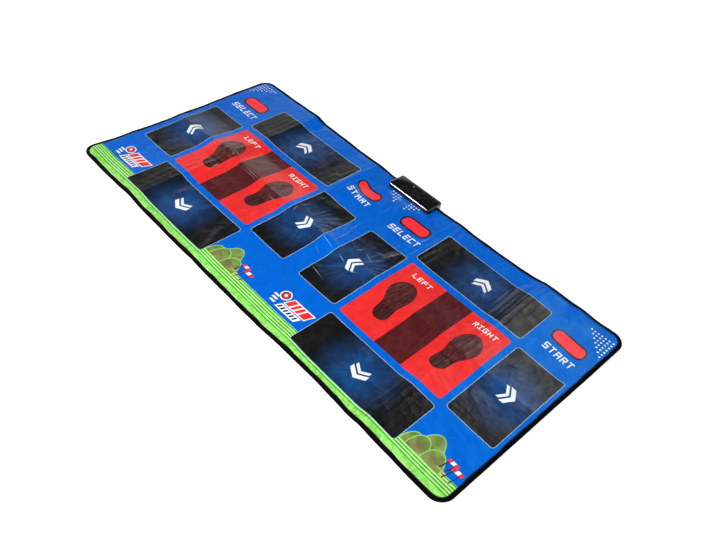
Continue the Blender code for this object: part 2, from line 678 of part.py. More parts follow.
def make_case_top():
    """Upper half of the box: a glossy lid with bosses for the case screws."""
    rim = BOX_SPLIT_HEIGHT
    rings = [box_ring(BOX_WALL, ROOF_LOW), box_ring(BOX_WALL, rim), box_ring(0, rim), *box_top_edge()]
    top = place(rings_solid(rings), "console_top", CASE_BLACK, smooth=True)
    low = CASE_BOSS_HEIGHT + FIT_GAP
    radius = CASE_SCREW_RADIUS + FIT_GAP
    tip = low + CASE_SCREW_DEPTH + FIT_GAP
    for number, (x, y) in enumerate(case_screw_places(), start=1):
        post_radius = CASE_BOSS_RADIUS - BOX_WALL / 2
        post = turned_solid(x, y, [(post_radius, low), (post_radius, ROOF_LOW + BOX_WALL / 2)])
        combine(top, guide(post, f"lid_post_{number}"), "UNION")
        bore = turned_solid(x, y, [(radius, low - BOX_WALL), (radius, tip)])
        combine(top, guide(bore, f"lid_bore_{number}"), "DIFFERENCE")
    cut_lid_openings(top)


def cut_lid_openings(top):
    """Openings in the lid for the indicator, the panel round the sockets and the switch."""
    lens = turned_solid(*INDICATOR_PLACE, [(INDICATOR_RADIUS + FIT_GAP, ROOF_LOW - BOX_WALL),
                                           (INDICATOR_RADIUS + FIT_GAP, BOX_HEIGHT + BOX_WALL)])
    combine(top, guide(lens, "lens_hole"), "DIFFERENCE")
    panel_left, panel_right = panel_ends()
    notch_low = (panel_left - FIT_GAP, BOX_BACK - 2 * BOX_WALL, BOX_SPLIT_HEIGHT - BOX_WALL)
    notch_high = (panel_right + FIT_GAP, BOX_BACK + BOX_WALL, PANEL_TOP + FIT_GAP)
    combine(top, guide(box_solid(notch_low, notch_high), "panel_notch"), "DIFFERENCE")
    left = BOX_PLACE - BOX_LENGTH / 2
    low_z = knob_low()
    slot_low = (left - BOX_WALL, SWITCH_PLACE - KNOB_LENGTH / 2 - FIT_GAP, low_z - FIT_GAP)
    slot_high = (left + 2 * BOX_WALL, SWITCH_PLACE + KNOB_LENGTH / 2 + KNOB_TRAVEL + FIT_GAP,
                 low_z + KNOB_HEIGHT + FIT_GAP)
    combine(top, guide(box_solid(slot_low, slot_high), "switch_slot"), "DIFFERENCE")


def make_rear_panel():
    """Panel in the notch of the lid's back wall, kept in by a flange behind the wall."""
    left, right = panel_ends()
    inner = BOX_BACK - BOX_WALL - FIT_GAP
    back = inner - PANEL_FLANGE
    plate = box_solid((left, inner - PANEL_FLANGE / 2, BOX_SPLIT_HEIGHT),
                      (right, BOX_BACK - PANEL_RECESS, PANEL_TOP))
    panel = place(plate, "rear_panel", CASE_BLACK)
    flange = box_solid((left - PANEL_LAP, back, BOX_SPLIT_HEIGHT + FIT_GAP),
                       (right + PANEL_LAP, inner, ROOF_LOW - FIT_GAP))
    combine(panel, guide(flange, "panel_flange"), "UNION")
    for name, middle, length, height in socket_places():
        low = (middle - length / 2 - FIT_GAP, back - FIT_GAP, ON_BOARD - FIT_GAP)
        high = (middle + length / 2 + FIT_GAP, BOX_BACK + FIT_GAP, ON_BOARD + height + FIT_GAP)
        combine(panel, guide(box_solid(low, high), f"{name}_hole"), "DIFFERENCE")


def make_case_screws():
    """Screws that draw the lid down onto the base."""
    head_top = CASE_HEAD_RECESS + CASE_HEAD_HEIGHT
    tip = CASE_BOSS_HEIGHT + FIT_GAP + CASE_SCREW_DEPTH
    profile = [(CASE_HEAD_RADIUS, CASE_HEAD_RECESS), (CASE_HEAD_RADIUS, head_top),
               (CASE_SCREW_RADIUS, head_top), (CASE_SCREW_RADIUS, tip)]
    for name, (x, y) in zip(("left", "right"), case_screw_places()):
        place(turned_solid(x, y, profile), f"case_screw_{name}", STEEL, smooth=True)


def make_board():
    """Circuit board on the clamp bosses, with a tab at the back for the sockets."""
    edge = BOX_WALL + BOARD_EDGE_GAP
    left = BOX_PLACE - BOX_LENGTH / 2 + edge
    right = BOX_PLACE + BOX_LENGTH / 2 - edge
    front = BOX_FRONT + edge
    shoulder = box_step() + BOX_WALL - BOARD_EDGE_GAP
    back = BOX_BACK - BOX_WALL - BOARD_TAB_GAP
    corner = BOX_CORNER_RADIUS - BOX_WALL
    tab_left = BOX_PLACE - BOARD_TAB_LENGTH / 2
    tab_right = BOX_PLACE + BOARD_TAB_LENGTH / 2
    outline = [
        (left + corner, front),
        (right - corner, front),
        (right, front + corner),
        (right, shoulder),
        (tab_right, shoulder),
        (tab_right, back),
        (tab_left, back),
        (tab_left, shoulder),
        (left, shoulder),
        (left, front + corner),
    ]
    place(upright_solid(outline, BOARD_LOW, BOARD_HIGH), "circuit_board", BOARD_GREEN)


def make_board_parts():
    """Processor and indicator on the board."""
    x = BOX_PLACE + CHIP_REACH
    low = (x - CHIP_LENGTH / 2, BOX_MIDDLE - CHIP_LENGTH / 2, ON_BOARD)
    high = (x + CHIP_LENGTH / 2, BOX_MIDDLE + CHIP_LENGTH / 2, ON_BOARD + CHIP_HEIGHT)
    place(box_solid(low, high), "processor_chip", PART_BLACK)
    profile = [(INDICATOR_RADIUS, ON_BOARD), (INDICATOR_RADIUS, BOX_HEIGHT)]
    place(turned_solid(*INDICATOR_PLACE, profile), "indicator_lens", LENS_GREY, smooth=True)


def make_sockets():
    """Video socket, an open metal shell, and power socket, with a pin in its bore."""
    mouth = BOX_BACK - SOCKET_RECESS
    x = BOX_PLACE + VIDEO_REACH
    shell = place(box_solid((x - VIDEO_LENGTH / 2, mouth - VIDEO_DEPTH, ON_BOARD),
                            (x + VIDEO_LENGTH / 2, mouth, ON_BOARD + VIDEO_HEIGHT)), "video_socket", STEEL)
    inside = box_solid(
        (x - VIDEO_LENGTH / 2 + VIDEO_WALL, mouth - VIDEO_DEPTH + VIDEO_WALL, ON_BOARD + VIDEO_WALL),
        (x + VIDEO_LENGTH / 2 - VIDEO_WALL, mouth + VIDEO_WALL, ON_BOARD + VIDEO_HEIGHT - VIDEO_WALL))
    combine(shell, guide(inside, "video_mouth"), "DIFFERENCE")
    make_power_socket(BOX_PLACE + POWER_REACH, mouth)


def make_power_socket(x, mouth):
    """Power socket: a block with a blind round bore and a pin standing in it."""
    middle = ON_BOARD + POWER_HEIGHT / 2
    block = box_solid((x - POWER_LENGTH / 2, mouth - POWER_DEPTH, ON_BOARD),
                      (x + POWER_LENGTH / 2, mouth, ON_BOARD + POWER_HEIGHT))
    body = place(block, "power_socket", PART_BLACK)
    floor = mouth - POWER_BORE_DEPTH
    for name, radius, start, end, operation in (
        ("power_bore", POWER_BORE_RADIUS, floor, mouth + SOCKET_RECESS, "DIFFERENCE"),
        ("power_pin", POWER_PIN_RADIUS, floor - SOCKET_RECESS, mouth - 2 * SOCKET_RECESS, "UNION"),
    ):
        rings = [[(px, y, pz) for px, pz in circle(x, middle, radius, HOLE_STEPS)] for y in (start, end)]
        combine(body, guide(rings_solid(rings), name), operation)


def knob_low():
    """Height of the underside of the switch's knob."""
    return ON_BOARD + (SWITCH_BODY_HEIGHT - KNOB_HEIGHT) / 2


def make_switch():
    """Slide switch at the left end: its body on the board and its knob through the wall."""
    left = BOX_PLACE - BOX_LENGTH / 2
    face = left + BOX_WALL + BOARD_EDGE_GAP
    middle = SWITCH_PLACE + KNOB_TRAVEL / 2
    body = box_solid(
        (face, middle - SWITCH_BODY_LENGTH / 2, ON_BOARD),
        (face + SWITCH_BODY_DEPTH, middle + SWITCH_BODY_LENGTH / 2, ON_BOARD + SWITCH_BODY_HEIGHT))
    place(body, "power_switch_body", PART_BLACK)
    low = knob_low()
    knob = box_solid((left - KNOB_PROUD, SWITCH_PLACE - KNOB_LENGTH / 2, low),
                     (face - FIT_GAP, SWITCH_PLACE + KNOB_LENGTH / 2, low + KNOB_HEIGHT))
    place(knob, "power_switch_knob", PART_BLACK, origin=(left, SWITCH_PLACE, low + KNOB_HEIGHT / 2))


def make_tails():
    """Printed tails that rise from the film through the mat to the board, and the pad that presses them."""
    rise = TAIL_RISE_PLACE
    low = FILM_HIGH + LAYER_GAP
    high = BOARD_LOW - FIT_GAP - TAIL_THICKNESS
    t = TAIL_THICKNESS
    profile = [
        (rise - TAIL_RUN, low),
        (rise + t, low),
        (rise + t, high),
        (rise + TAIL_LANDING, high),
        (rise + TAIL_LANDING, high + t),
        (rise, high + t),
        (rise, low + t),
        (rise - TAIL_RUN, low + t),
    ]
    for name, x in zip(("left", "right"), tail_places()):
        tail = sideways_solid(profile, x - TAIL_WIDTH / 2, x + TAIL_WIDTH / 2)
        place(tail, f"sensor_tail_{name}", FILM_CLEAR)
    front = rise + t + TAIL_CLEARANCE + FIT_GAP
    place(box_solid((BOX_PLACE - TAIL_PAD_LENGTH / 2, front, BOX_FLOOR_HIGH + FIT_GAP),
                    (BOX_PLACE + TAIL_PAD_LENGTH / 2, front + TAIL_PAD_WIDTH, high - FIT_GAP)),
          "tail_clamp_pad", PAD_RUBBER)


def main():
    clear_scene()
    frame = bpy.data.objects.new("mat_frame", None)
    bpy.context.collection.objects.link(frame)
    frame.location = (0, -ORIGIN_SHIFT, 0)
    make_layers()
    make_binding()
    make_pads()
    make_clamp()
    make_case_base()
    make_case_top()
    make_rear_panel()
    make_case_screws()
    make_board()
    make_board_parts()
    make_sockets()
    make_switch()
    make_tails()


main()
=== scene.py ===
# %% [markdown]
# # A two-player running mat, dressed for a studio picture
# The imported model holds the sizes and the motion. This lesson dresses it with printed vinyl that
# remembers its folds, a sewn tape and a glossy control box. The frame is loaded first, because
# later sizes are read from it.

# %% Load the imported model
import math

import bmesh
import bpy
import numpy as np
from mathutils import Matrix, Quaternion, Vector
from mathutils.geometry import delaunay_2d_cdt


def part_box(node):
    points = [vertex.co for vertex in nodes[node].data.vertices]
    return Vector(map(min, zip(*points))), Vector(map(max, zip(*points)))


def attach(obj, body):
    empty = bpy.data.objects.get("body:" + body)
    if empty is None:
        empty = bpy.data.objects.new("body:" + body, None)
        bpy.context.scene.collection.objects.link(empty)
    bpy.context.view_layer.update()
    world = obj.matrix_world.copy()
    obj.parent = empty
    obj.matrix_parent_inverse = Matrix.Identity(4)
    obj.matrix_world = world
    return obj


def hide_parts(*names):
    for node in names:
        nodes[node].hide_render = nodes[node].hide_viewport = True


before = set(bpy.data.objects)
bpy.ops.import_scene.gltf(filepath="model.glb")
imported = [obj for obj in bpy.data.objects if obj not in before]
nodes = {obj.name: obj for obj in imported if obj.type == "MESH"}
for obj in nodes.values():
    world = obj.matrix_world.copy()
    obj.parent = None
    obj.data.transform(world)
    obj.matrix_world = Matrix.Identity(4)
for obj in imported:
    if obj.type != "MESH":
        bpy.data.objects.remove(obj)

scene = bpy.context.scene
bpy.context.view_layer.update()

# %% [markdown]
# ## Camera
# The picture was taken from above the mat's front right corner, with the camera turned a little
# about its own axis. The numbers were worked out from the corners of the mat and of its pads.

# %% Place the camera
CAMERA_AZIMUTH = math.radians(42.15)
CAMERA_ELEVATION = math.radians(45.32)
CAMERA_ROLL = math.radians(7.60)
CAMERA_DISTANCE = 2.2361
CAMERA_AIM = Vector((0.1505, -0.0243, 0.0))
CAMERA_LENS = 36.77


def put(name, data, place, line, roll=0.0):
    """Put a camera or a lamp at a place, turned to look along a line and rolled about it."""
    holder = bpy.data.objects.new(name, data)
    scene.collection.objects.link(holder)
    holder.location = place
    holder.rotation_mode = "QUATERNION"
    holder.rotation_quaternion = line.to_track_quat("-Z", "Y") @ Quaternion((0, 0, 1), roll)
    return holder


def place_camera():
    """Stand off from the aim along azimuth and elevation, and look back at it."""
    flat = math.cos(CAMERA_ELEVATION)
    back = Vector((math.sin(CAMERA_AZIMUTH) * flat, -math.cos(CAMERA_AZIMUTH) * flat,
                   math.sin(CAMERA_ELEVATION)))
    lens = bpy.data.cameras.new("camera")
    lens.lens = CAMERA_LENS
    scene.camera = put("camera", lens, CAMERA_AIM + back * CAMERA_DISTANCE, -back, CAMERA_ROLL)


place_camera()
scene.view_settings.view_transform = "Standard"
print("camera at", [round(c, 3) for c in scene.camera.location])

# %% [markdown]
# ## Helpers for materials
# A material is easier to read as a recipe than as a pile of nodes. This class makes a node, fills
# its sockets and joins it in one call. A value that is another node's socket becomes a link.

# %% A recipe for one material


class Recipe:
    """A node tree under construction: a material with its shader, or the world with its light."""

    def __init__(self, name, kind="materials", shader="Principled BSDF", **constants):
        self.owner = getattr(bpy.data, kind).new(name)
        self.owner.use_nodes = True
        self.tree = self.owner.node_tree
        self.shader = self.tree.nodes[shader]
        for key, value in constants.items():
            self.fill(self.shader.inputs[key.replace("_", " ")], value)

    def fill(self, socket, value):
        """Link a socket or set its value. A colour is three numbers and is made opaque here."""
        if isinstance(value, bpy.types.NodeSocket):
            self.tree.links.new(value, socket)
        elif value is not None:
            socket.default_value = (*value, 1.0) if socket.type == "RGBA" else value

    def node(self, kind, inputs, output=0, **settings):
        """Add a node, set its options, fill its inputs, and give one of its outputs."""
        node = self.tree.nodes.new("ShaderNode" + kind)
        for key, value in settings.items():
            setattr(node, key, value)
        for key, value in inputs.items():
            self.fill(node.inputs[key], value)
        return node.outputs[output]

    def place(self):
        """Object coordinates: metres in the frame."""
        return self.node("TexCoord", {}, "Object")

    def plan(self):
        """The piece's own flat coordinates, kept in its UV map."""
        return self.node("UVMap", {}, uv_map="plan")

    def stretched(self, vector, scale, turn=0.0):
        """A vector turned about Z and scaled."""
        return self.node("Mapping", {"Vector": vector, "Scale": scale, "Rotation": (0, 0, turn)})

    def noise(self, vector, scale, detail=2.0, distortion=0.0, kind="FBM"):
        """Noise from 0 to 1 at features per metre."""
        inputs = {"Vector": vector, "Scale": scale, "Detail": detail, "Distortion": distortion}
        return self.node("TexNoise", inputs, noise_type=kind, normalize=True)

    def cells(self, vector, scale, randomness=1.0, **settings):
        """Distance to the middle of the nearest cell."""
        inputs = {"Vector": vector, "Scale": scale, "Randomness": randomness}
        return self.node("TexVoronoi", inputs, **settings)

    def span(self, value, low, high, to_low=0.0, to_high=1.0):
        """Carry a value from one span to another, with a smooth step between the ends."""
        inputs = {"Value": value, "From Min": low, "From Max": high, "To Min": to_low, "To Max": to_high}
        return self.node("MapRange", inputs, interpolation_type="SMOOTHSTEP", clamp=True)

    def math(self, kind, first, second=0.0):
        """One arithmetic step on one number or two."""
        return self.node("Math", {0: first, 1: second}, operation=kind)

    def times(self, first, second):
        """The product of two numbers."""
        return self.math("MULTIPLY", first, second)

    def vectors(self, kind, first, second=(0.0, 0.0, 0.0), output="Vector"):
        """One arithmetic step on one vector or two."""
        return self.node("VectorMath", {0: first, 1: second}, output, operation=kind)

    def blend(self, share, first, second):
        """Two colours mixed by a share."""
        return self.node("Mix", {0: share, 6: first, 7: second}, 2, data_type="RGBA", blend_type="MIX")

    def bump(self, height, distance, strength=1.0, below=None):
        """A bump of a real depth in metres, laid over another one."""
        inputs = {"Height": height, "Distance": distance, "Strength": strength, "Normal": below}
        return self.node("Bump", inputs)

    def finish(self, colour=None, roughness=None, normal=None):
        """Join what was worked out to the shader and hand back the material."""
        for key, value in (("Base Color", colour), ("Roughness", roughness), ("Normal", normal)):
            self.fill(self.shader.inputs[key], value)
        return self.owner


print("recipe ready")

# %% [markdown]
# ## Floor, world and lamps
# The floor is white paper. Lit until it burns out, it would burn out the white print too, so the
# camera sees a little extra white in it instead. The world is a dim studio with pale walls and
# four soft windows, which glossy vinyl shows as the grey sheen at the mat's two ends.

# %% Floor
FLOOR_SIZE = 14.0
FLOOR_DROP = 0.0006
FLOOR_WHITE = (0.80, 0.80, 0.80)
FLOOR_EXTRA = 0.55


def make_floor():
    """A square sheet of paper under the mat, subdivided once each way."""
    side = np.linspace(-FLOOR_SIZE / 2, FLOOR_SIZE / 2, 3)
    points = [(x, y, -FLOOR_DROP) for y in side for x in side]
    faces = [(k, k + 1, k + 4, k + 3) for k in (0, 1, 3, 4)]
    mesh = bpy.data.meshes.new("floor")
    mesh.from_pydata(points, [], faces)
    floor = bpy.data.objects.new("floor", mesh)
    scene.collection.objects.link(floor)
    return floor


def floor_paper():
    """Matt white paper with a faint tooth, and extra white for camera, mirror and glass rays."""
    mix = Recipe("floor_paper", Base_Color=FLOOR_WHITE, Roughness=0.9)
    tooth = mix.noise(mix.place(), 40.0, 3.0)
    mix.finish(normal=mix.bump(tooth, 0.0004, 0.2))
    rays = mix.node("LightPath", {}).node.outputs
    seen = mix.math("MAXIMUM", rays["Is Camera Ray"], rays["Is Glossy Ray"])
    seen = mix.math("MAXIMUM", seen, rays["Is Transmission Ray"])
    glow = mix.node("Emission", {"Strength": mix.times(seen, FLOOR_EXTRA)})
    both = mix.node("AddShader", {0: mix.shader.outputs["BSDF"], 1: glow})
    mix.tree.links.new(both, mix.tree.nodes["Material Output"].inputs["Surface"])
    return mix.owner


floor = make_floor()
floor.data.materials.append(floor_paper())
print("floor", FLOOR_SIZE, "m square")

# %% World and lamps
WORLD_BASE = 0.07
WALL_TOP = 0.61
WALL_FULL = 0.44
WALL_LIGHT = 0.80
# Name, direction, cosine where its light starts and where it is full, strength.
WINDOWS = (
    ("behind_camera", (0.45, -0.55, 0.70), 0.55, 0.90, 0.80),
    ("right_end", (-0.14, 0.64, 0.755), 0.9863, 0.9981, 2.3),
    ("left_glint", (-0.87, 0.10, 0.47), 0.9965, 0.9985, 10.0),
    ("back_glint", (-0.62, 0.62, 0.48), 0.9965, 0.9985, 1.0),
)


def make_world():
    """A dark studio with pale walls round its foot, and for each window a smooth step of the
    cosine of the angle to its middle."""
    mix = Recipe("studio", "worlds", "Background", Color=(1.0, 0.99, 0.97))
    direction = mix.node("TexCoord", {}, "Generated")
    level = mix.node("SeparateXYZ", {0: direction}, "Z")
    total = mix.math("ADD", mix.span(level, WALL_TOP, WALL_FULL, 0, WALL_LIGHT), WORLD_BASE)
    for _, middle, start, full, strength in WINDOWS:
        near = mix.vectors("DOT_PRODUCT", direction, Vector(middle).normalized(), "Value")
        total = mix.math("ADD", total, mix.span(near, start, full, 0, strength))
    mix.tree.links.new(total, mix.shader.inputs["Strength"])
    scene.world = mix.owner


def softbox(name, place, aim, size, watts):
    """A rectangular lamp that looks at a point and isn't seen itself."""
    lamp = bpy.data.lights.new(name, "AREA")
    lamp.shape = "RECTANGLE"
    lamp.size, lamp.size_y = size
    lamp.energy = watts
    holder = put(name, lamp, place, Vector(aim) - Vector(place))
    holder.visible_camera = False
    return holder


make_world()
softbox("key", (-1.3, -1.7, 2.2), (0.1, 0.0, 0.0), (0.5, 1.4), 14)
softbox("fill", (2.4, -1.2, 2.6), (0.0, 0.0, 0.0), (2.2, 2.2), 12)
softbox("front", (0.25, -1.15, 1.15), (0.1, -0.1, 0.0), (1.7, 0.4), 18)
print("windows", [name for name, *_ in WINDOWS])

# %% [markdown]
# ## The shape of the folded mat
# The mat was folded in its box, so five sharp ridges stand in it, and between them the vinyl is
# puckered. A formula of the place on the mat gives both, and every layer shares it. What lifts the
# whole stack is kept apart from what wrinkles the skin alone, which only rises off the foam. Most
# tables are in whole millimetres with heights or widths in tenths of one, for `metres` to turn.

# %% Where the mat lies
CORNER_RADIUS = 0.045
BACK_BOW = 0.014
# Middle along the side, width of the bell, depth.
SIDE_DRAWS = {"front": (0.375, 0.130, 0.0070), "back": (0.400, 0.200, 0.0050),
              "left": (-0.020, 0.180, 0.0060)}


def plan_box(node):
    """Low and high corner of a node, seen from above."""
    low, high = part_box(node)
    return np.array(low[:2]), np.array(high[:2])


def metres(rows, fine=1):
    """A table in metres, from whole millimetres and, in its last column if fine, tenths of one."""
    units = np.full(len(rows[0]), 1000)
    units[len(units) - fine:] = 10000
    return np.array(rows) / units


def smooth_step(value, low, high):
    """0 below low, 1 above high, and the curve 3t² - 2t³ between them."""
    t = np.clip((value - low) / (high - low), 0, 1)
    return t * t * (3 - 2 * t)


def bell(x, y, middle_x, middle_y, wide, deep):
    """A round hill: e to the minus squared distance, measured in its own widths."""
    return np.exp(-((x - middle_x) / wide) ** 2 - ((y - middle_y) / deep) ** 2)


def side_drawn(side, along):
    """How far the folds draw one side in: a bell of the place along it. The back is bowed as well,
    by a squared cosine."""
    middle, wide, most = SIDE_DRAWS[side]
    drawn = most * np.exp(-((along - middle) / wide) ** 2)
    if side == "back":
        reach = HALF[0] - CORNER_RADIUS
        drawn += BACK_BOW * np.cos(math.pi * np.clip((along - MIDDLE[0]) / reach, -1, 1) / 2) ** 2
    return drawn


def edge_distance(x, y):
    """How far inside the mat's edge a point lies: with q the distance past the corner's middle on
    each axis, it is the corner radius less the length of q's positive part, or less the larger q."""
    away_x = np.where(x > MIDDLE[0], x - MIDDLE[0], MIDDLE[0] - x + side_drawn("left", y))
    away_y = np.where(y > MIDDLE[1], y - MIDDLE[1] + side_drawn("back", x),
                      MIDDLE[1] - y + side_drawn("front", x))
    over_x = away_x - HALF[0] + CORNER_RADIUS
    over_y = away_y - HALF[1] + CORNER_RADIUS
    past = np.hypot(np.maximum(over_x, 0), np.maximum(over_y, 0))
    return CORNER_RADIUS - past - np.minimum(np.maximum(over_x, over_y), 0)


def box_calm(x, y, margin):
    """0 under the control box, rising to 1 at a margin round it, so that the box stands flat."""
    over_x = np.maximum(box_low[0] - x, x - box_high[0])
    return smooth_step(np.maximum(over_x, box_low[1] - y), 0.004, margin)


mat_low, mat_high = plan_box("edge_binding")
MIDDLE, HALF = (mat_low + mat_high) / 2, (mat_high - mat_low) / 2
box_low, box_high = plan_box("console_base")
print("mat in mm", (2000 * HALF).round(1), "middle", (1000 * MIDDLE).round(2))

# %% Folds of the whole stack
# Place along X, reach to its left and to its right, height.
CROSS_FOLDS = metres(((-531, 200, 50, 96), (-185, 85, 80, 42), (216, 75, 80, 44), (560, 50, 200, 94)))
FOLD_CREST = 0.0035
LONG_FOLD_PLACE = -0.014
LONG_FOLD_SIDES = (0.055, 0.100)
# Place along X, height.
LONG_FOLD_SPINE = metres(((-850, 25), (-760, 95), (-660, 132), (-450, 142), (-240, 115), (-20, 80),
                          (120, 52), (500, 48), (850, 25)))
# Middle, width along X and Y, height.
HILLS = metres((
    (-562, 2, 36, 24, 42), (-503, -88, 24, 26, 40), (-85, 212, 60, 36, 65), (20, 285, 40, 40, 30),
    (700, 372, 36, 50, 36), (250, -385, 40, 50, 36), (10, -30, 60, 110, 28), (-655, -330, 50, 50, 30),
    (-850, -400, 110, 90, 80), (-520, -400, 180, 50, 35), (850, 400, 90, 90, 55),
))
EDGE_WAVE = 0.0010
EDGE_SQUEEZE = 0.0022
SQUEEZE_SPAN = (0.002, 0.018)


def tent(distance, half_width):
    """Height of a ridge: 1 at the crest, 0 at its foot. The straight sides meet in a hyperbola,
    sqrt(d² + r²) - r, so the crest has a radius, and a power of 1.25 softens the foot."""
    run = np.sqrt(distance ** 2 + FOLD_CREST ** 2) - FOLD_CREST
    return np.clip(1 - run / half_width, 0, None) ** 1.25


def cross_crest(place, y):
    """Where a cross ridge runs: nearly straight along Y."""
    return place + 0.0018 * np.sin(23 * y + 40 * place) + 0.0008 * np.sin(61 * y)


def long_crest(x):
    """Where the long ridge runs: nearly straight along X."""
    return LONG_FOLD_PLACE + 0.0024 * np.sin(11 * x) + 0.0009 * np.sin(47 * x)


def fold_lift(x, y):
    """Lift of every layer: four cross ridges with unlike sides, one long ridge, round hills and a
    wavy edge."""
    lift = np.zeros_like(x)
    for place, left, right, height in CROSS_FOLDS:
        away = x - cross_crest(place, y)
        swell = 0.88 + 0.12 * np.sin(9 * y + 30 * place)
        lift += height * swell * tent(away, np.where(away < 0, left, right))
    spine = np.interp(x, *LONG_FOLD_SPINE.T)
    away = y - long_crest(x)
    swell = 0.92 + 0.08 * np.sin(9 * x + 1)
    lift += spine * swell * tent(away, np.where(away < 0, *LONG_FOLD_SIDES))
    for *hill, height in HILLS:
        lift += height * bell(x, y, *hill)
    wave = 1 + np.sin(51 * x + 43 * y) * np.sin(15 * x - 13 * y + 2)
    lift += EDGE_WAVE * wave * np.exp(-edge_distance(x, y) / 0.030)
    return lift * box_calm(x, y, 0.060)


def edge_sink(x, y):
    """How far the sewn tape squeezes the foam: most at the edge, nothing a little way inside."""
    squeeze = 1 - smooth_step(edge_distance(x, y), *SQUEEZE_SPAN)
    return EDGE_SQUEEZE * squeeze * box_calm(x, y, 0.030)


# %% Slides and gathers of the print
# Place, shift.
SLIDE_X = metres(((-850, -6), (-600, -3), (-260, 7), (50, 5), (300, 3), (620, 1)), 0)
SLIDE_Y = metres(((-360, 1), (-200, 0), (0, -5), (136, -10), (220, -6), (310, -1)), 0)
SLIDE_SHEAR = -0.012
# Middle, width along X and Y, shift along X and Y.
GATHERS = metres((
    (-740, 240, 70, 70, 8, 4), (-165, 240, 60, 60, 2, 19), (-150, 190, 36, 34, -9, 15),
    (-104, 262, 40, 45, 0, -14), (-75, 190, 40, 32, 4, 7), (125, 250, 80, 60, 2, 3),
    (700, 230, 60, 70, 0, 8),
), 0)


def drawn_in(flat):
    """Sideways shift of the skin and the foam: a slow slide with a little shear, and a bell for
    each gather. Nothing moves at the tape or under the box."""
    x, y = flat.T
    calm = smooth_step(edge_distance(x, y), 0.012, 0.045) * box_calm(x, y, 0.045)
    shift = np.column_stack([np.interp(x, *SLIDE_X.T) + SLIDE_SHEAR * y, np.interp(y, *SLIDE_Y.T)])
    for *place, along_x, along_y in GATHERS:
        shift += bell(x, y, *place)[:, None] * (along_x, along_y)
    return flat + calm[:, None] * shift


def before_drawn(place):
    """Where a drawn-in point lay on the flat sheet, found by three rounds of correction."""
    flat = place
    for _ in range(3):
        flat = flat + place - drawn_in(flat)
    return flat


print("gathers", len(GATHERS))

# %% Wrinkles of the printed skin
# Middle, number of folds, height, radius, spread, seed.
PUCKERS = (
    (-0.112, -0.026, 30, 0.0016, 0.070, 0.050, 3),
    (0.132, -0.030, 26, 0.0017, 0.072, 0.048, 5),
    (0.012, 0.040, 14, 0.0013, 0.050, 0.050, 8),
    (-0.040, 0.235, 16, 0.0009, 0.080, 0.050, 9),
    (0.440, -0.275, 12, 0.0011, 0.085, 0.060, 12),
    (-0.520, -0.030, 12, 0.0010, 0.070, 0.045, 14),
)
# Height, size and seed of the patches, size and seed of the crumples.
CRUMPLES = ((0.0020, 0.37, 4, 0.105, 11), (0.0010, 0.23, 6, 0.042, 17))
# Both ends, half width, height.
SHORT_FOLDS = metres((
    (-45, -14, 100, -40, 28, 42), (45, -122, 132, -136, 20, 22), (172, 55, 192, 125, 20, 22),
    (-245, -245, -180, -370, 18, 20), (-300, -18, -225, -30, 22, 20), (-180, 80, -60, 110, 30, 26),
    (531, 140, 524, 340, 15, 30), (505, 160, 496, 300, 13, 18), (330, -300, 400, -210, 30, 20),
    (-480, -300, -440, -200, 30, 20), (690, 60, 790, -80, 40, 22),
))
CRUMPLE_DIRECTIONS = 5
PLEAT_PITCH = 0.024
PLEAT_SPREAD = 0.048
PLEAT_HEIGHT = 0.0010
SKIN_HELD = 0.0145
SKIN_FREE = 0.035


def crests(angle, sharp):
    """Thin ridges with round valleys: 1 less the size of a sine, to a power."""
    return (1 - np.abs(np.sin(angle))) ** sharp


def ridged(x, y, length, seed):
    """Crumpled vinyl, from 0 to 1: the mean of crests along a few directions, with wandering phases."""
    total = np.zeros_like(x)
    for angle, phase, drift in np.random.default_rng(seed).uniform(0, math.tau, (CRUMPLE_DIRECTIONS, 3)):
        along = (x * math.cos(angle) + y * math.sin(angle)) / length
        across = (y * math.cos(angle) - x * math.sin(angle)) / length
        wander = 1.3 * np.sin(2.3 * across + drift) + 0.6 * np.sin(5.1 * across + 2 * drift)
        total += crests(math.pi * along + phase + wander, 2.6)
    return total / CRUMPLE_DIRECTIONS


def patches(x, y, length, seed):
    """Slow patches from 0 to 1: the product of two wandering waves, lifted to be positive."""
    a, b, c = np.random.default_rng(seed).uniform(0, math.tau, 3)
    wave = np.sin(math.tau * x / length + a + np.sin(9 * y + b)) * np.sin(math.tau * y / length + c)
    return 0.5 + 0.5 * wave


def pucker(x, y, middle_x, middle_y, count, height, radius, spread, seed):
    """Small folds that run out from a middle: crests of the angle, times a bell of the distance
    round the pucker's radius."""
    phase, second = np.random.default_rng(seed).uniform(0, math.tau, 2)
    away = np.hypot(x - middle_x, y - middle_y)
    angle = np.arctan2(y - middle_y, x - middle_x)
    fine = crests(count / 2 * angle + (1.1 * np.sin(3 * angle + phase) + 9 * away), 2)
    broad = crests(round(count / 6) * angle + second + 6 * away, 1.5)
    return height * (0.55 * fine + 0.45 * broad) * np.exp(-((away - radius) / spread) ** 2)


def short_fold(x, y, x1, y1, x2, y2, half_width, height):
    """A short ridge along a segment, tapered to nothing at both ends: with t the share walked
    along it, the height is the tent of the distance times 4t(1 - t) to the power of 0.6."""
    run_x, run_y = x2 - x1, y2 - y1
    share = np.clip(((x - x1) * run_x + (y - y1) * run_y) / (run_x ** 2 + run_y ** 2), 0, 1)
    away = np.hypot(x - x1 - share * run_x, y - y1 - share * run_y)
    return height * tent(away, half_width) * (4 * share * (1 - share)) ** 0.6


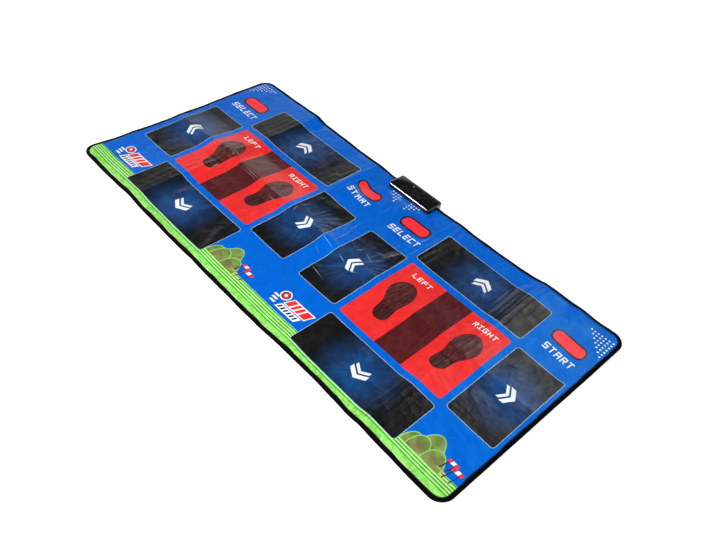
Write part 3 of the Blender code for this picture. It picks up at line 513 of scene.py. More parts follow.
def pleats(x, y):
    """Small waves beside each cross ridge and along it, in patches."""
    lift = np.zeros_like(x)
    for place in CROSS_FOLDS[:, 0]:
        away = x - cross_crest(place, y) + 0.003 * np.sin(19 * y + 50 * place)
        wave = crests(math.pi * away / PLEAT_PITCH, 1.6)
        lift += PLEAT_HEIGHT * wave * np.exp(-(away / PLEAT_SPREAD) ** 2)
    return lift * (0.15 + 0.85 * patches(x, y, 0.31, 21))


def wrinkle_lift(x, y):
    """Lift of the skin above the foam: crumples in patches, puckers, short folds and pleats. Every
    part is positive, so the skin never sinks into the foam."""
    lift = np.zeros_like(x)
    for height, patch, patch_seed, length, seed in CRUMPLES:
        lift += height * patches(x, y, patch, patch_seed) * ridged(x, y, length, seed)
    for values in PUCKERS:
        lift += pucker(x, y, *values)
    for values in SHORT_FOLDS:
        lift += short_fold(x, y, *values)
    lift += pleats(x, y)
    return lift * smooth_step(edge_distance(x, y), SKIN_HELD, SKIN_FREE) * box_calm(x, y, 0.030)


def skin_height(x, y):
    """How far the printed skin rises."""
    return fold_lift(x, y) + wrinkle_lift(x, y)


probe = np.meshgrid(np.linspace(-HALF[0], HALF[0], 341), np.linspace(-HALF[1], HALF[1], 161))
print("skin rises to mm", round(1000 * float(skin_height(*probe).max()), 1))

# %% [markdown]
# ## From an outline to a sheet
# Each printed shape needs a crisp edge on a sheet that also bends, and real edges in the mesh stay
# sharp from any distance. So the outlines of the print and of the windows are laid over a lattice
# of points, and Blender's own triangulator joins them into one flat mesh. Each triangle takes the
# ink of the last outline that its middle lies in.

# %% Outlines
LATTICE = 0.0045
OUTLINE_RUN = 0.018


def rounded(low, high, radius, grow=0.0, steps=8):
    """Points round a rectangle with four equal arcs; grow moves every side outwards."""
    low, high, radius = low - grow, high + grow, radius + grow
    scratch_and_reflection_arcs = []
    for quarter, way in enumerate(((1, 1), (-1, 1), (-1, -1), (1, -1))):
        middle = np.where(np.array(way) > 0, high - radius, low + radius)
        angle = np.linspace(0, math.pi / 2, steps + 1) + quarter * math.pi / 2
        scratch_and_reflection_arcs.append(middle + radius * np.column_stack([np.cos(angle), np.sin(angle)]))
    return np.concatenate(scratch_and_reflection_arcs)


def spaced(outline, step):
    """The same closed line with each run split into equal parts no longer than the step."""
    run = np.roll(outline, -1, axis=0) - outline
    parts = np.maximum(1, np.ceil(np.hypot(run[:, 0], run[:, 1]) / step).astype(int))
    start = np.repeat(np.arange(len(outline)), parts)
    first = np.repeat(np.cumsum(parts) - parts, parts)
    share = (np.arange(parts.sum()) - first) / parts[start]
    return outline[start] + run[start] * share[:, None]


def mat_outline(inset=0.0, steps=12):
    """The mat's edge: a rounded rectangle in short runs, with three of its sides drawn in."""
    ring = rounded(MIDDLE - HALF + inset, MIDDLE + HALF - inset, CORNER_RADIUS - inset, steps=steps)
    x, y = spaced(ring, OUTLINE_RUN).T
    in_x = np.where(x < MIDDLE[0], side_drawn("left", y), 0.0)
    in_y = np.where(y < MIDDLE[1], side_drawn("front", x), -side_drawn("back", x))
    return np.column_stack([x + in_x, y + in_y])


def inside(points, outline):
    """Even-odd rule: a point is inside where a ray towards +X crosses the outline an odd number
    of times."""
    answer = np.zeros(len(points), bool)
    near = np.all((points >= outline.min(0)) & (points <= outline.max(0)), axis=1)
    x, y = points[near].T
    odd = np.zeros(len(x), bool)
    for (x1, y1), (x2, y2) in zip(outline.tolist(), np.roll(outline, -1, axis=0).tolist()):
        if y1 != y2:
            odd ^= ((y1 > y) != (y2 > y)) & (x < x1 + (y - y1) * (x2 - x1) / (y2 - y1))
    answer[near] = odd
    return answer


def fold_lines(low, high, step):
    """Open lines along each ridge and beside it, so that a crest never falls between points."""
    beside = np.array([-2.2, -0.9, 0.0, 0.9, 2.2]) * FOLD_CREST
    x, y = (np.arange(low[k], high[k], step) for k in (0, 1))
    lines = [np.column_stack([cross_crest(place, y) + side, y])
             for place in CROSS_FOLDS[:, 0] for side in beside]
    lines += [np.column_stack([x, long_crest(x) + side]) for side in beside]
    return [before_drawn(line) for line in lines]


def lattice_points(low, high, step, lines):
    """A square lattice over a box, without the points that a line passes close by."""
    first = np.floor(low / step).astype(int)
    count = np.ceil(high / step).astype(int) - first + 1
    keep = np.ones(count, bool)
    for line in lines:
        cell = np.rint(line / step).astype(int) - first
        close = np.hypot(*(line - (cell + first) * step).T) < 0.42 * step
        close &= np.all((cell >= 0) & (cell < count), axis=1)
        keep[cell[close, 0], cell[close, 1]] = False
    return (np.argwhere(keep) + first) * step


# %% Triangulate a sheet
WELD = 1e-6


def flat_sheet(outer, holes=(), prints=(), step=LATTICE):
    """Flat points, triangles and an ink number for each triangle, 0 where nothing is printed."""
    loops = [spaced(line, step) for line in [outer, *holes, *(line for line, _ in prints)]]
    low, high = outer.min(0), outer.max(0)
    creases = [line[inside(line, outer)] for line in fold_lines(low, high, step)
               if np.all((line.mean(0) > low) & (line.mean(0) < high))]
    lattice = lattice_points(low, high, step, loops + creases)
    points = np.concatenate([*loops, *creases, lattice[inside(lattice, outer)]])
    edges = []
    start = 0
    for number, line in enumerate(loops + creases):
        index = np.arange(start, start + len(line))
        pairs = np.column_stack([index, np.roll(index, -1)])
        edges.append(pairs if number < len(loops) else pairs[:-1])
        start += len(line)
    edges = np.concatenate(edges).tolist()
    found = delaunay_2d_cdt([Vector(point) for point in points.tolist()], edges, [], 0, WELD, False)
    flat = np.array([tuple(point) for point in found[0]])
    triangles = np.array(found[2])
    middles = flat[triangles].mean(1)
    ink = inside(middles, outer) - 1
    for outline, number in [*prints, *((hole, -1) for hole in holes)]:
        ink[(ink >= 0) & inside(middles, outline)] = number
    triangles, ink = triangles[ink >= 0], ink[ink >= 0]
    used, triangles = np.unique(triangles, return_inverse=True)
    triangles = triangles.reshape(-1, 3)
    flat = flat[used]
    a, b, c = (flat[triangles[:, k]] for k in range(3))
    turned = (b - a)[:, 0] * (c - a)[:, 1] - (b - a)[:, 1] * (c - a)[:, 0] < 0
    triangles[turned] = triangles[turned][:, ::-1]
    return flat, triangles, ink


def free_edges(triangles):
    """Edges that one triangle alone uses, in that triangle's own direction."""
    edges = np.concatenate([triangles[:, [0, 1]], triangles[:, [1, 2]], triangles[:, [2, 0]]])
    _, index, count = np.unique(np.sort(edges, axis=1), axis=0, return_index=True, return_counts=True)
    return edges[index[count == 1]]


def put_mesh(name, points, faces, ink=None, plan=None, sharp=35):
    """Put whole arrays into a mesh: points, faces of one kind, inks and flat plan."""
    mesh = bpy.data.meshes.new(name)
    mesh.vertices.add(len(points))
    mesh.vertices.foreach_set("co", points.astype(np.float32).ravel())
    mesh.loops.add(faces.size)
    mesh.loops.foreach_set("vertex_index", faces.astype(np.int32).ravel())
    mesh.polygons.add(len(faces))
    mesh.polygons.foreach_set("loop_start", np.arange(0, faces.size, faces.shape[1], dtype=np.int32))
    if ink is not None:
        mesh.polygons.foreach_set("material_index", ink.astype(np.int32))
    mesh.update(calc_edges=True)
    if plan is not None:
        mesh.uv_layers.new(name="plan").data.foreach_set("uv", plan[faces.ravel()].astype(np.float32).ravel())
    return put_object(name, mesh, sharp)


def put_object(name, mesh, sharp):
    """An object for a mesh, smooth but for the edges that turn by more than an angle in degrees."""
    mesh.shade_smooth()
    mesh.set_sharp_from_angle(angle=math.radians(sharp))
    obj = bpy.data.objects.new(name, mesh)
    scene.collection.objects.link(obj)
    return obj


def raised_sheet(name, sheet, low, high, height, plan=None, back_ink=0, sinks=(1, 1), drawn=True):
    """A closed sheet: the flat one lifted to two levels over the folds, with a wall round it.
    sinks says whether its lower and upper face give way where the tape squeezes."""
    flat, triangles, ink = sheet
    place = drawn_in(flat) if drawn else flat
    lift, sink = height(*place.T), edge_sink(*flat.T)
    top = np.column_stack([place, high + lift - sinks[1] * sink])
    bottom = np.column_stack([place, low + lift - sinks[0] * sink])
    start, end = free_edges(triangles).T
    below, end_below = start + len(flat), end + len(flat)
    walls = np.concatenate([np.column_stack([end, start, below]), np.column_stack([end, below, end_below])])
    faces = np.concatenate([triangles, triangles[:, ::-1] + len(flat), walls])
    inks = np.concatenate([ink, np.full(len(triangles), back_ink), np.zeros(len(walls), int)])
    flat_plan = None if plan is None else np.tile(plan(flat), (2, 1))
    return put_mesh(name, np.concatenate([top, bottom]), faces, inks, flat_plan)


print("lattice step in mm", 1000 * LATTICE)

# %% [markdown]
# ## The print
# The mat carries one printed picture: arrow pads, two soles, button names, a strip of grass and
# white dots. The small pictures and the maker's words are left out, and plain hills, hurdles and
# slanted bars of like size and colours stand in their places. Each shape is a formula or a few
# corners, and has an ink.

# %% Fields and pads
PAD_GAP = 0.0004
SKIN_GAP = 0.00015
PAD_RADIUS = 0.009
CAPSULE_RADIUS = 0.024
ARROW_TURNS = {"up": 0.0, "down": math.pi, "left": math.pi / 2, "right": -math.pi / 2}
CAPSULES = ("select", "start")
PLAYERS = ("p1", "p2")
PADS = [f"{player}_{name}" for player in PLAYERS
        for name in (*ARROW_TURNS, "left_foot", "right_foot", *CAPSULES)]


def pad_box(pad):
    """The window of a pad, from the pad's own box and its clearance."""
    low, high = plan_box(pad + "_pad")
    return low - PAD_GAP, high + PAD_GAP


def pad_outline(pad, grow=0.0):
    """The window of a pad, grown: capsules end in wide arcs, the other pads have small corners."""
    return rounded(*pad_box(pad), CAPSULE_RADIUS if pad.endswith(CAPSULES) else PAD_RADIUS, grow)


field_x = {player: float(np.mean([side[0] for side in pad_box(player + "_up")])) for player in PLAYERS}
print("field middles in mm", {player: round(1000 * x, 1) for player, x in field_x.items()})

# %% Shapes of the print
SOLE_LENGTH = 0.181
DOT_PITCH = 0.012
DOT_RADIUS = 0.0029
CHEVRONS = ((0.028, 0.030, 0.019, 0.0150), (0.0065, 0.0255, 0.0165, 0.0100))


def quad(x, y, length, height, lean=0.0):
    """A bar from its lower left corner; lean slants its ends."""
    return np.array([(x, y), (x + length, y), (x + length + lean, y + height), (x + lean, y + height)])


def arc(x, y, wide, tall, turn):
    """Points of an ellipse at some turns."""
    return np.column_stack([x + wide * np.cos(turn), y + tall * np.sin(turn)])


def disc(x, y, radius, steps=10):
    """A circle of equal steps."""
    return arc(x, y, radius, radius, np.linspace(0, math.tau, steps, endpoint=False))


def mound(x, y, half, height):
    """Half an ellipse that stands on its flat side."""
    return arc(x, y, half, height, np.linspace(0, math.pi, 14))


def turned(outline, angle, x, y):
    """An outline turned about the origin and then moved."""
    cosine, sine = math.cos(angle), math.sin(angle)
    return outline @ np.array([(cosine, sine), (-sine, cosine)]) + (x, y)


def chevron(tip, half, rise, thick):
    """An arrow head that points to +Y, with ends cut along the arrow."""
    return np.array([(0, tip), (-half, tip - rise), (-half, tip - rise - thick), (0, tip - thick),
                     (half, tip - rise - thick), (half, tip - rise)])


def crease(x1, y1, x2, y2, width):
    """A thin lens along a segment: a painted highlight or painted shade line along a sharp crease, as its ink
    says.
    """
    across = np.array([y1 - y2, x2 - x1])
    across = across / np.hypot(*across) * width / 2
    middle = np.array([(x1 + x2) / 2, (y1 + y2) / 2])
    return before_drawn(np.array([(x1, y1), middle - across, (x2, y2), middle + across]))


def sole(side):
    """A shoe's sole about its own middle. Along its length s, from heel to toe, the half width
    steps from heel to ball with a dip at the waist, and both ends close as parts of ellipses.
    The middle line leans from the heel's side to the ball's. side is -1 for left, 1 for right."""
    s = (1 - np.cos(np.linspace(0, math.pi, 22))) / 2
    body = 0.0270 + 0.0150 * smooth_step(s, 0.26, 0.70) - 0.0020 * np.exp(-((s - 0.38) / 0.08) ** 2)
    heel_end = np.sqrt(np.clip(1 - (np.clip(0.15 - s, 0, None) / 0.15) ** 2, 0, 1))
    toe_end = np.sqrt(np.clip(1 - (np.clip(s - 0.66, 0, None) / 0.34) ** 2, 0, 1))
    half = body * heel_end * toe_end
    middle = -side * 0.0150 * (1 - smooth_step(s, 0.05, 0.75)) + side * 0.0035
    y = SOLE_LENGTH * (s - 0.5)
    right, left = np.column_stack([middle + half, y]), np.column_stack([middle - half, y])
    return np.concatenate([right, left[::-1][1:-1]])


def dot_corner(x, y, side, rows):
    """Dots that fill a right triangle with its square corner at (x, y); side is the way its rows
    run, and they get shorter towards -Y."""
    return [disc(x + side * DOT_PITCH * column, y - DOT_PITCH * row, DOT_RADIUS)
            for row in range(rows) for column in range(rows - row)]


print("sole in mm", round(1000 * SOLE_LENGTH))

# %% Letters
STROKE = 0.232
BAR = 0.18
# Left, bottom, length and height as shares of a letter's cell, and a lean.
STROKES = {
    "top": (0, 1 - BAR, 1, BAR),
    "middle": (0, 0.5 - BAR / 2, 1, BAR),
    "bottom": (0, 0, 1, BAR),
    "left": (0, 0, STROKE, 1),
    "right": (1 - STROKE, 0, STROKE, 1),
    "stem": (0.5 - STROKE / 2, 0, STROKE, 1),
    "high_left": (0, 0.5, STROKE, 0.5),
    "high_right": (1 - STROKE, 0.5, STROKE, 0.5),
    "low_right": (1 - STROKE, 0, STROKE, 0.5),
    "half_middle": (0.5, 0.5 - BAR / 2, 0.5, BAR),
    "leg": (1 - STROKE, 0, STROKE, 0.5, -0.34),
}
LETTERS = {
    "S": "top high_left middle low_right bottom", "E": "left top middle bottom", "L": "left bottom",
    "C": "left top bottom", "T": "top stem", "A": "left right top middle",
    "R": "left top high_right middle leg", "F": "left top middle", "I": "stem top bottom",
    "G": "left top bottom low_right half_middle", "H": "left right middle",
}
LETTER_GAP = 0.34
LETTER_LEAN = 0.10


def words(text, x, y, wide, tall):
    """Bars that write a word from a lower left corner: each letter is a few strokes of one cell."""
    cell = wide / (len(text) + LETTER_GAP * (len(text) - 1))
    bars = []
    for number, letter in enumerate(text):
        left = x + number * cell * (1 + LETTER_GAP)
        for stroke in LETTERS[letter].split():
            over, up, length, height, *lean = STROKES[stroke]
            slant = LETTER_LEAN * height * tall + (lean[0] * cell if lean else 0.0)
            start = left + over * cell + LETTER_LEAN * up * tall
            bars.append((quad(start, y + up * tall, length * cell, height * tall, slant), "white"))
    return bars


print("letters", "".join(LETTERS))

# %% Creases painted as lines of light and shade
# Both ends and a width. These lines are painted light: a highlight or sheen where a crease catches the light,
# painted shade where it turns away.
COVER_PAINTED_CREASES = (
    ("painted_crease_highlight", (
        (-35, -18, 52, -37, 30), (-10, -60, 35, -82, 16), (19, -10, 13, 79, 26), (13, 82, 1, 112, 18),
        (-138, 372, -116, 376, 30), (-128, 346, -108, 352, 20), (12, 216, 5, 256, 14),
        (153, 118, 155, 160, 14), (187, 194, 194, 256, 18))),
    ("painted_crease_deep_shade", ((-160, 322, -104, 344, 28), (-205, 306, -172, 272, 20))),
    ("painted_crease_sheen", ((-470, -12, -330, -17, 16), (-455, -22, -350, -25, 12))),
    ("painted_crease_shade", (
        (556, 333, 563, 374, 24), (582, 342, 600, 366, 14), (552, -385, 556, -334, 16),
        (566, -380, 568, -338, 12), (300, -372, 330, -345, 12))),
)
PAD_PAINTED_CREASES = (
    ("painted_crease_sheen", (
        (72, -34, 106, -43, 22), (48, -128, 122, -140, 18), (168, 70, 186, 116, 16),
        (119, 38, 166, 20, 20), (131, 66, 165, 80, 15), (128, -60, 172, -40, 14), (86, 20, 110, 52, 15),
        (-536, 9, -494, 6, 20), (-526, -4, -506, -9, 16))),
    # Painted glints on the left sole, where the light catches it.
    ("painted_sole_glint", ((-554, -18, -554, 10, 50), (-504, -108, -508, -72, 60))),
    ("painted_crease_sheen", (
        (-288, -37, -231, -40, 18), (-166, -28, -176, 8, 20), (-177, 12, -160, 44, 18),
        (-152, 21, -126, 18, 14))),
    ("painted_crease_shade", ((-268, -262, -197, -356, 30), (-243, -299, -192, -315, 18))),
)


def painted_creases_from(groups):
    """Painted lines of light and shade along creases, with their inks; each row holds both ends and a width.
    """
    return [(crease(*row), ink) for ink, rows in groups for row in metres(rows)]


cover_painted_creases, pad_painted_creases = painted_creases_from(COVER_PAINTED_CREASES), painted_creases_from(PAD_PAINTED_CREASES)
print("creases", len(cover_painted_creases) + len(pad_painted_creases))

# %% What is printed
LINE_WIDTH = 0.0017
RING_WIDTH = 0.0058
RING_OUTSIDE = 0.0010
GRASS_TOP = MIDDLE[1] - 0.329
HILLS_STAND = MIDDLE[1] - 0.343
# Middle from the picture's left, half width, height.
HILL_SHAPES = ((0.026, 0.030, 0.050), (0.070, 0.040, 0.090), (0.046, 0.032, 0.058), (0.098, 0.034, 0.056))
# Left from the picture's left, rise, size.
HURDLES = ((0.112, 0.018, 1.0), (0.134, 0.002, 1.15))
RINGS_OF_BADGE = ((0.0190, "white"), (0.0150, "navy"), (0.0110, "red"), (0.0048, "white"))
# Word, its lower left corner from the field's middle, width.
CAPSULE_WORDS = (("SELECT", -0.374, 0.189, 0.130), ("START", 0.262, 0.188, 0.104))
CAPSULE_WORD_TALL = 0.0235
FOOT_WORDS = {-1: ("LEFT", 0.073), 1: ("RIGHT", 0.086)}
FOOT_WORD_TALL = 0.0195
FOOT_WORD_UP = 0.0935
SOLE_DOWN = 0.0235
# Corner from the mat's middle, way of the rows, number of rows.
DOT_CORNERS = ((0.829, 0.358, -1, 7), (-0.826, 0.368, 1, 7), (-0.014, 0.325, -1, 4), (0.036, 0.325, 1, 4))


def stand_in_hills(x):
    """Plain hills with light rims and dry fields on the grass, and two hurdles beside them."""
    shapes = []
    for reach, half, height in HILL_SHAPES:
        middle = x + reach
        shapes += [(mound(middle, HILLS_STAND, half, height), "hill_edge"),
                   (mound(middle, HILLS_STAND, half - 0.003, height - 0.003), "hill"),
                   (mound(middle - 0.004, HILLS_STAND, 0.62 * half, 0.55 * height), "hill_dry")]
    for reach, rise, size in HURDLES:
        left, foot = x + reach, HILLS_STAND + rise
        for leg in (0.003, 0.022):
            shapes += [(quad(left + leg * size, foot, 0.0036, 0.030 * size, 0.008 * size), "navy"),
                       (quad(left + (leg - 0.004) * size, foot - 0.004, 0.013, 0.004, 0.002), "peach")]
        for part, ink in enumerate(("red", "white", "red")):
            shapes.append((quad(left + (0.006 + 0.0105 * part) * size, foot + 0.030 * size,
                                0.0105 * size, 0.0105 * size, 0.003 * size), ink))
    return shapes


def stand_in_badge(x):
    """Two slanted banners with white rims and stripes, and a ring with short bars beside it."""
    y = MIDDLE[1] - 0.318
    shapes = [(quad(x + 0.044, y + 0.026, 0.092, 0.036, 0.014), "white"),
              (quad(x + 0.0485, y + 0.0295, 0.085, 0.029, 0.0115), "red"),
              (quad(x + 0.034, y + 0.001, 0.086, 0.022, 0.009), "white")]
    shapes += [(quad(x + stripe, y + 0.0295, 0.006, 0.029, 0.0115), "white")
               for stripe in (0.066, 0.084, 0.102)]
    shapes += [(quad(x + 0.041 + 0.013 * stripe, y + 0.005, 0.007, 0.014, 0.0055), "navy")
               for stripe in range(6)]
    shapes += [(disc(x + 0.028, y + 0.051, radius, 20), ink) for radius, ink in RINGS_OF_BADGE]
    return shapes + [(quad(x - 0.004 + 0.004 * bar, y + 0.030 - 0.012 * bar, 0.020, 0.0065, 0.003), "white")
                     for bar in range(3)]


def cover_prints():
    """Every printed shape of the cover, from the lowest to the highest, and last the painted crease
    highlights and shade.
    """
    low, high = MIDDLE - HALF, MIDDLE + HALF
    shapes = [(quad(*low, high[0] - low[0], GRASS_TOP - MIDDLE[1] + HALF[1]), "grass")]
    for player in PLAYERS:
        x = field_x[player]
        shapes += stand_in_hills(x + 0.214) + stand_in_badge(x - 0.366)
        for text, over, up, wide in CAPSULE_WORDS:
            shapes += words(text, x + over, MIDDLE[1] + up, wide, CAPSULE_WORD_TALL)
        (low, start), (end, high) = (pad_box(f"{player}_{side}_foot") for side in ("left", "right"))
        shapes.append((rounded(low, high, PAD_RADIUS), "red"))
        shapes.append((quad(start[0], low[1], end[0] - start[0], high[1] - low[1]), "stripe"))
    for pad in PADS:
        if pad.endswith(CAPSULES):
            shapes.append((pad_outline(pad, RING_OUTSIDE), "ring"))
        elif not pad.endswith("foot"):
            shapes.append((pad_outline(pad, LINE_WIDTH), "line"))
    for x, y, side, rows in DOT_CORNERS:
        shapes += [(dot, "white") for dot in dot_corner(MIDDLE[0] + x, MIDDLE[1] + y, side, rows)]
    return shapes + cover_painted_creases


def sole_prints(x, side):
    """A sole with its rim and heel, and the word above it."""
    shape = sole(side)
    middle = shape.mean(0)
    rim = middle + (shape - middle) * (1.045, 1.022)
    place = (x, MIDDLE[1] - SOLE_DOWN)
    heel = shape[shape[:, 1] < -SOLE_LENGTH * 0.12]
    text, wide = FOOT_WORDS[side]
    return [(rim + place, "sole_rim"), (shape + place, "sole"), (heel + place, "heel"),
            *words(text, x - wide / 2, MIDDLE[1] + FOOT_WORD_UP, wide, FOOT_WORD_TALL)]


def pad_prints(pad):
    """Chevrons, a sole and its word, or a red middle, and the painted crease highlights and shade that cross
    the pad.
    """
    low, high = pad_box(pad)
    x, y = (low + high) / 2
    name = pad.split("_", 1)[1]
    if name in ARROW_TURNS:
        shapes = [(turned(chevron(*sizes), ARROW_TURNS[name], x, y), "white") for sizes in CHEVRONS]
    elif name.endswith("foot"):
        shapes = sole_prints(x, -1 if name.startswith("left") else 1)
    else:
        shapes = [(pad_outline(pad, -RING_WIDTH), "capsule")]
    return shapes + [(line, ink) for line, ink in pad_painted_creases
                     if np.all((line.max(0) > low) & (line.min(0) < high))]


print("shapes on the cover", len(cover_prints()))

# %% [markdown]
# ## Printed vinyl
# A plain glossy colour would look like paint, so each ink gets slow mottling, roughness that
# varies as if handled, and two bumps: a fine grain, and crinkles too small for the mesh. The arrow
# pads add a blue glow with streaks that run out from their middle.

# %% Vinyl
GRASS_PITCH = 0.0088
WHITE_GLOSS = (1.0, 1.0, 1.0)
RED_GLOSS = (1.0, 0.65, 0.65)


def vinyl_surface(mix, crinkle=1.0):
    """Roughness and normal that all printed vinyl shares: crinkles, then grain over them."""
    place = mix.place()
    roughness = mix.span(mix.noise(place, 22.0, 4.0, 0.6), 0.30, 0.72, 0.17, 0.30)
    crinkles = mix.noise(place, 55.0, 2.0, 1.2, "RIDGED_MULTIFRACTAL")
    soft = mix.bump(crinkles, 0.0010 * crinkle, 0.20)
    return roughness, mix.bump(mix.noise(place, 950.0, 1.0), 0.00004, 0.35, soft)


def vinyl(name, colour, dark=0.90, tint=WHITE_GLOSS):
    """One ink on vinyl: its colour, mottled down to a share of itself. The tint colours its gloss."""
    mix = Recipe(name + "_vinyl", Base_Color=colour, Specular_Tint=tint)
    mottle = mix.span(mix.noise(mix.place(), 31.0, 3.0, 0.4), 0.35, 0.68)
    shade = tuple(channel * dark for channel in colour)
    return mix.finish(mix.blend(mottle, shade, colour), *vinyl_surface(mix))


def grass_vinyl():
    """Light green with dark and pale lines along the mat, where a sine of the distance across the
    strip is high or low; a second step keeps them to the strip's upper part."""
    mix = Recipe("grass_vinyl")
    across = mix.node("SeparateXYZ", {0: mix.place()}, "Y")
    wave = mix.math("SINE", mix.times(across, math.tau / GRASS_PITCH))
    upper = mix.span(across, MIDDLE[1] - 0.3700, MIDDLE[1] - 0.3690)
    dark = mix.times(mix.span(wave, 0.55, 0.75), upper)
    pale = mix.times(mix.span(wave, -0.45, -0.80), upper)
    mottle = mix.span(mix.noise(mix.place(), 75.0, 4.0, 0.8), 0.35, 0.66)
    green = mix.blend(mottle, (0.180, 0.56, 0.080), (0.30, 0.80, 0.15))
    lined = mix.blend(pale, green, (0.42, 0.86, 0.26))
    lined = mix.blend(dark, lined, (0.012, 0.15, 0.025))
    rim = mix.span(across, MIDDLE[1] - 0.3865, MIDDLE[1] - 0.3855, 1.0, 0.0)
    return mix.finish(mix.blend(rim, lined, (0.66, 0.80, 0.36)), *vinyl_surface(mix))


def pad_vinyl():
    """Near black with a blue glow: a smooth step of the distance from the pad's middle, times rays,
    which are noise of the direction from the middle, times swirls."""
    mix = Recipe("pad_vinyl")
    plan = mix.plan()
    away = mix.vectors("LENGTH", plan, output="Value")
    lift = mix.node("CombineXYZ", {"Z": mix.times(away, 0.30)})
    spread = mix.vectors("ADD", mix.vectors("NORMALIZE", plan), lift)
    rays = mix.span(mix.noise(spread, 6.0), 0.34, 0.68, 0.76, 1.08)
    swirl = mix.span(mix.noise(mix.place(), 7.5, 3.0, 2.6), 0.36, 0.66, 0.70, 1.18)
    glow = mix.times(mix.times(mix.span(away, 0.05, 1.50, 1.0, 0.0), rays), swirl)
    colour = mix.blend(glow, (0.0040, 0.0042, 0.0048), (0.007, 0.062, 0.222))
    return mix.finish(colour, *vinyl_surface(mix, 1.2))


def sole_vinyl(name, colour, streak):
    """Maroon with fine streaks along the foot: noise stretched many times along Y."""
    mix = Recipe(name + "_vinyl")
    drawn = mix.noise(mix.stretched(mix.place(), (1.0, 0.10, 1.0)), 260.0)
    colour = mix.blend(mix.span(drawn, 0.46, 0.66), colour, streak)
    return mix.finish(colour, *vinyl_surface(mix, 1.2))


# %% Inks
# Colour, the share of it in the darkest mottling, colour of its gloss.
PLAIN_INKS = {
    "blue": ((0.0, 0.118, 0.620), 0.90, (0.08, 0.75, 1.0)),
    "line": ((0.32, 0.50, 0.64),),
    "red": ((0.83, 0.026, 0.026), 0.86, RED_GLOSS),
    "ring": ((0.006, 0.006, 0.010),),
    "white": ((0.82, 0.85, 0.87), 0.96),
    "navy": ((0.008, 0.014, 0.070),),
    "hill": ((0.190, 0.300, 0.070), 0.60),
    "hill_edge": ((0.30, 0.58, 0.10),),
    "hill_dry": ((0.260, 0.260, 0.090), 0.55),
    "peach": ((0.66, 0.36, 0.20),),
    # Painted highlight and sheen along creases: light blue on the cover, pale grey sheen mostly on the pads.
    "painted_crease_highlight": ((0.10, 0.34, 0.86),),
    "painted_crease_sheen": ((0.34, 0.31, 0.31),),
    # Painted shade along creases: near black on the pads, a deeper blue on the cover.
    "painted_crease_shade": ((0.002, 0.006, 0.020),),
    "painted_crease_deep_shade": ((0.002, 0.050, 0.300),),
    "capsule": ((0.97, 0.030, 0.048), 0.96, RED_GLOSS),
    # Painted glint: a pale warm streak standing in for a highlight on the sole.
    "painted_sole_glint": ((0.30, 0.19, 0.20),),
    "sole_rim": ((0.030, 0.006, 0.007),),
}
inks = {name: vinyl(name, *values) for name, values in PLAIN_INKS.items()}
inks["grass"] = grass_vinyl()
inks["pad"] = pad_vinyl()
inks["stripe"] = sole_vinyl("stripe", (0.070, 0.0070, 0.0085), (0.110, 0.011, 0.013))
inks["sole"] = sole_vinyl("sole", (0.060, 0.0090, 0.0100), (0.125, 0.030, 0.030))
inks["heel"] = sole_vinyl("heel", (0.036, 0.0055, 0.0065), (0.080, 0.017, 0.019))
print("inks", len(inks))

# %% Cloth, foam and film


def backing_cloth():
    """The knitted cloth under the vinyl: small loops in rows, as a cell pattern stretched on X."""
    mix = Recipe("backing_cloth", Roughness=0.9)
    loops = mix.cells(mix.stretched(mix.place(), (1.0, 0.6, 1.0)), 900.0)
    colour = mix.blend(mix.span(loops, 0.0, 0.7), (0.50, 0.50, 0.50), (0.78, 0.78, 0.77))
    return mix.finish(colour, normal=mix.bump(loops, 0.00015))


def bottom_cloth():
    """Dark woven cloth with rubber dots in rows: a thresholded cell pattern without randomness."""
    mix = Recipe("bottom_cloth", Roughness=0.85, Sheen_Weight=0.2)
    place = mix.place()
    rubber = mix.span(mix.cells(place, 125.0, 0.0, voronoi_dimensions="2D"), 0.20, 0.24, 1.0, 0.0)
    thread = mix.node("TexWave", {"Vector": place, "Scale": 420.0, "Distortion": 0.4}, "Fac")
    weave = mix.blend(thread, (0.045, 0.047, 0.050), (0.080, 0.083, 0.088))
    height = mix.math("ADD", mix.times(thread, 0.2), rubber)
    return mix.finish(mix.blend(rubber, weave, (0.015, 0.015, 0.016)),
                         mix.span(rubber, 0, 1, 0.9, 0.5), mix.bump(height, 0.0004))


def foam_cells():
    """Grey foam: open cells of a quarter of a millimetre."""
    mix = Recipe("foam_cells", Roughness=0.95)
    cells = mix.cells(mix.place(), 1600.0)
    tone = mix.noise(mix.place(), 35.0, 3.0)
    light = mix.blend(tone, (0.50, 0.50, 0.48), (0.62, 0.62, 0.60))
    colour = mix.blend(mix.span(cells, 0.1, 0.6), light, (0.26, 0.26, 0.25))
    return mix.finish(colour, normal=mix.bump(cells, 0.0003))


def contact_film():
    """Clear film that looks milky, with thin silver tracks printed along it."""
    mix = Recipe("contact_film_finish", IOR=1.55)
    place = mix.place()
    tracks = mix.node("TexWave", {"Vector": place, "Scale": 16.0, "Distortion": 0.6, "Detail": 1.0},
                         "Fac", bands_direction="Y")
    haze = mix.blend(mix.noise(place, 18.0, 3.0), (0.66, 0.69, 0.67), (0.76, 0.78, 0.75))
    colour = mix.blend(mix.span(tracks, 0.93, 0.95), haze, (0.30, 0.31, 0.32))
    ripples = mix.noise(place, 45.0)
    roughness = mix.span(ripples, 0.3, 0.7, 0.16, 0.30)
    return mix.finish(colour, roughness, mix.bump(ripples, 0.0004, 0.4))


def carbon_ink():
    """Printed carbon: matt black with the mesh of the printing screen in it."""
    mix = Recipe("carbon_ink_finish")
    screen = mix.cells(mix.place(), 1300.0, 0.15, voronoi_dimensions="2D")
    colour = mix.blend(mix.span(screen, 0.1, 0.6), (0.022, 0.022, 0.024), (0.045, 0.045, 0.048))
    return mix.finish(colour, mix.span(screen, 0.1, 0.6, 0.50, 0.70), mix.bump(screen, 0.00008))


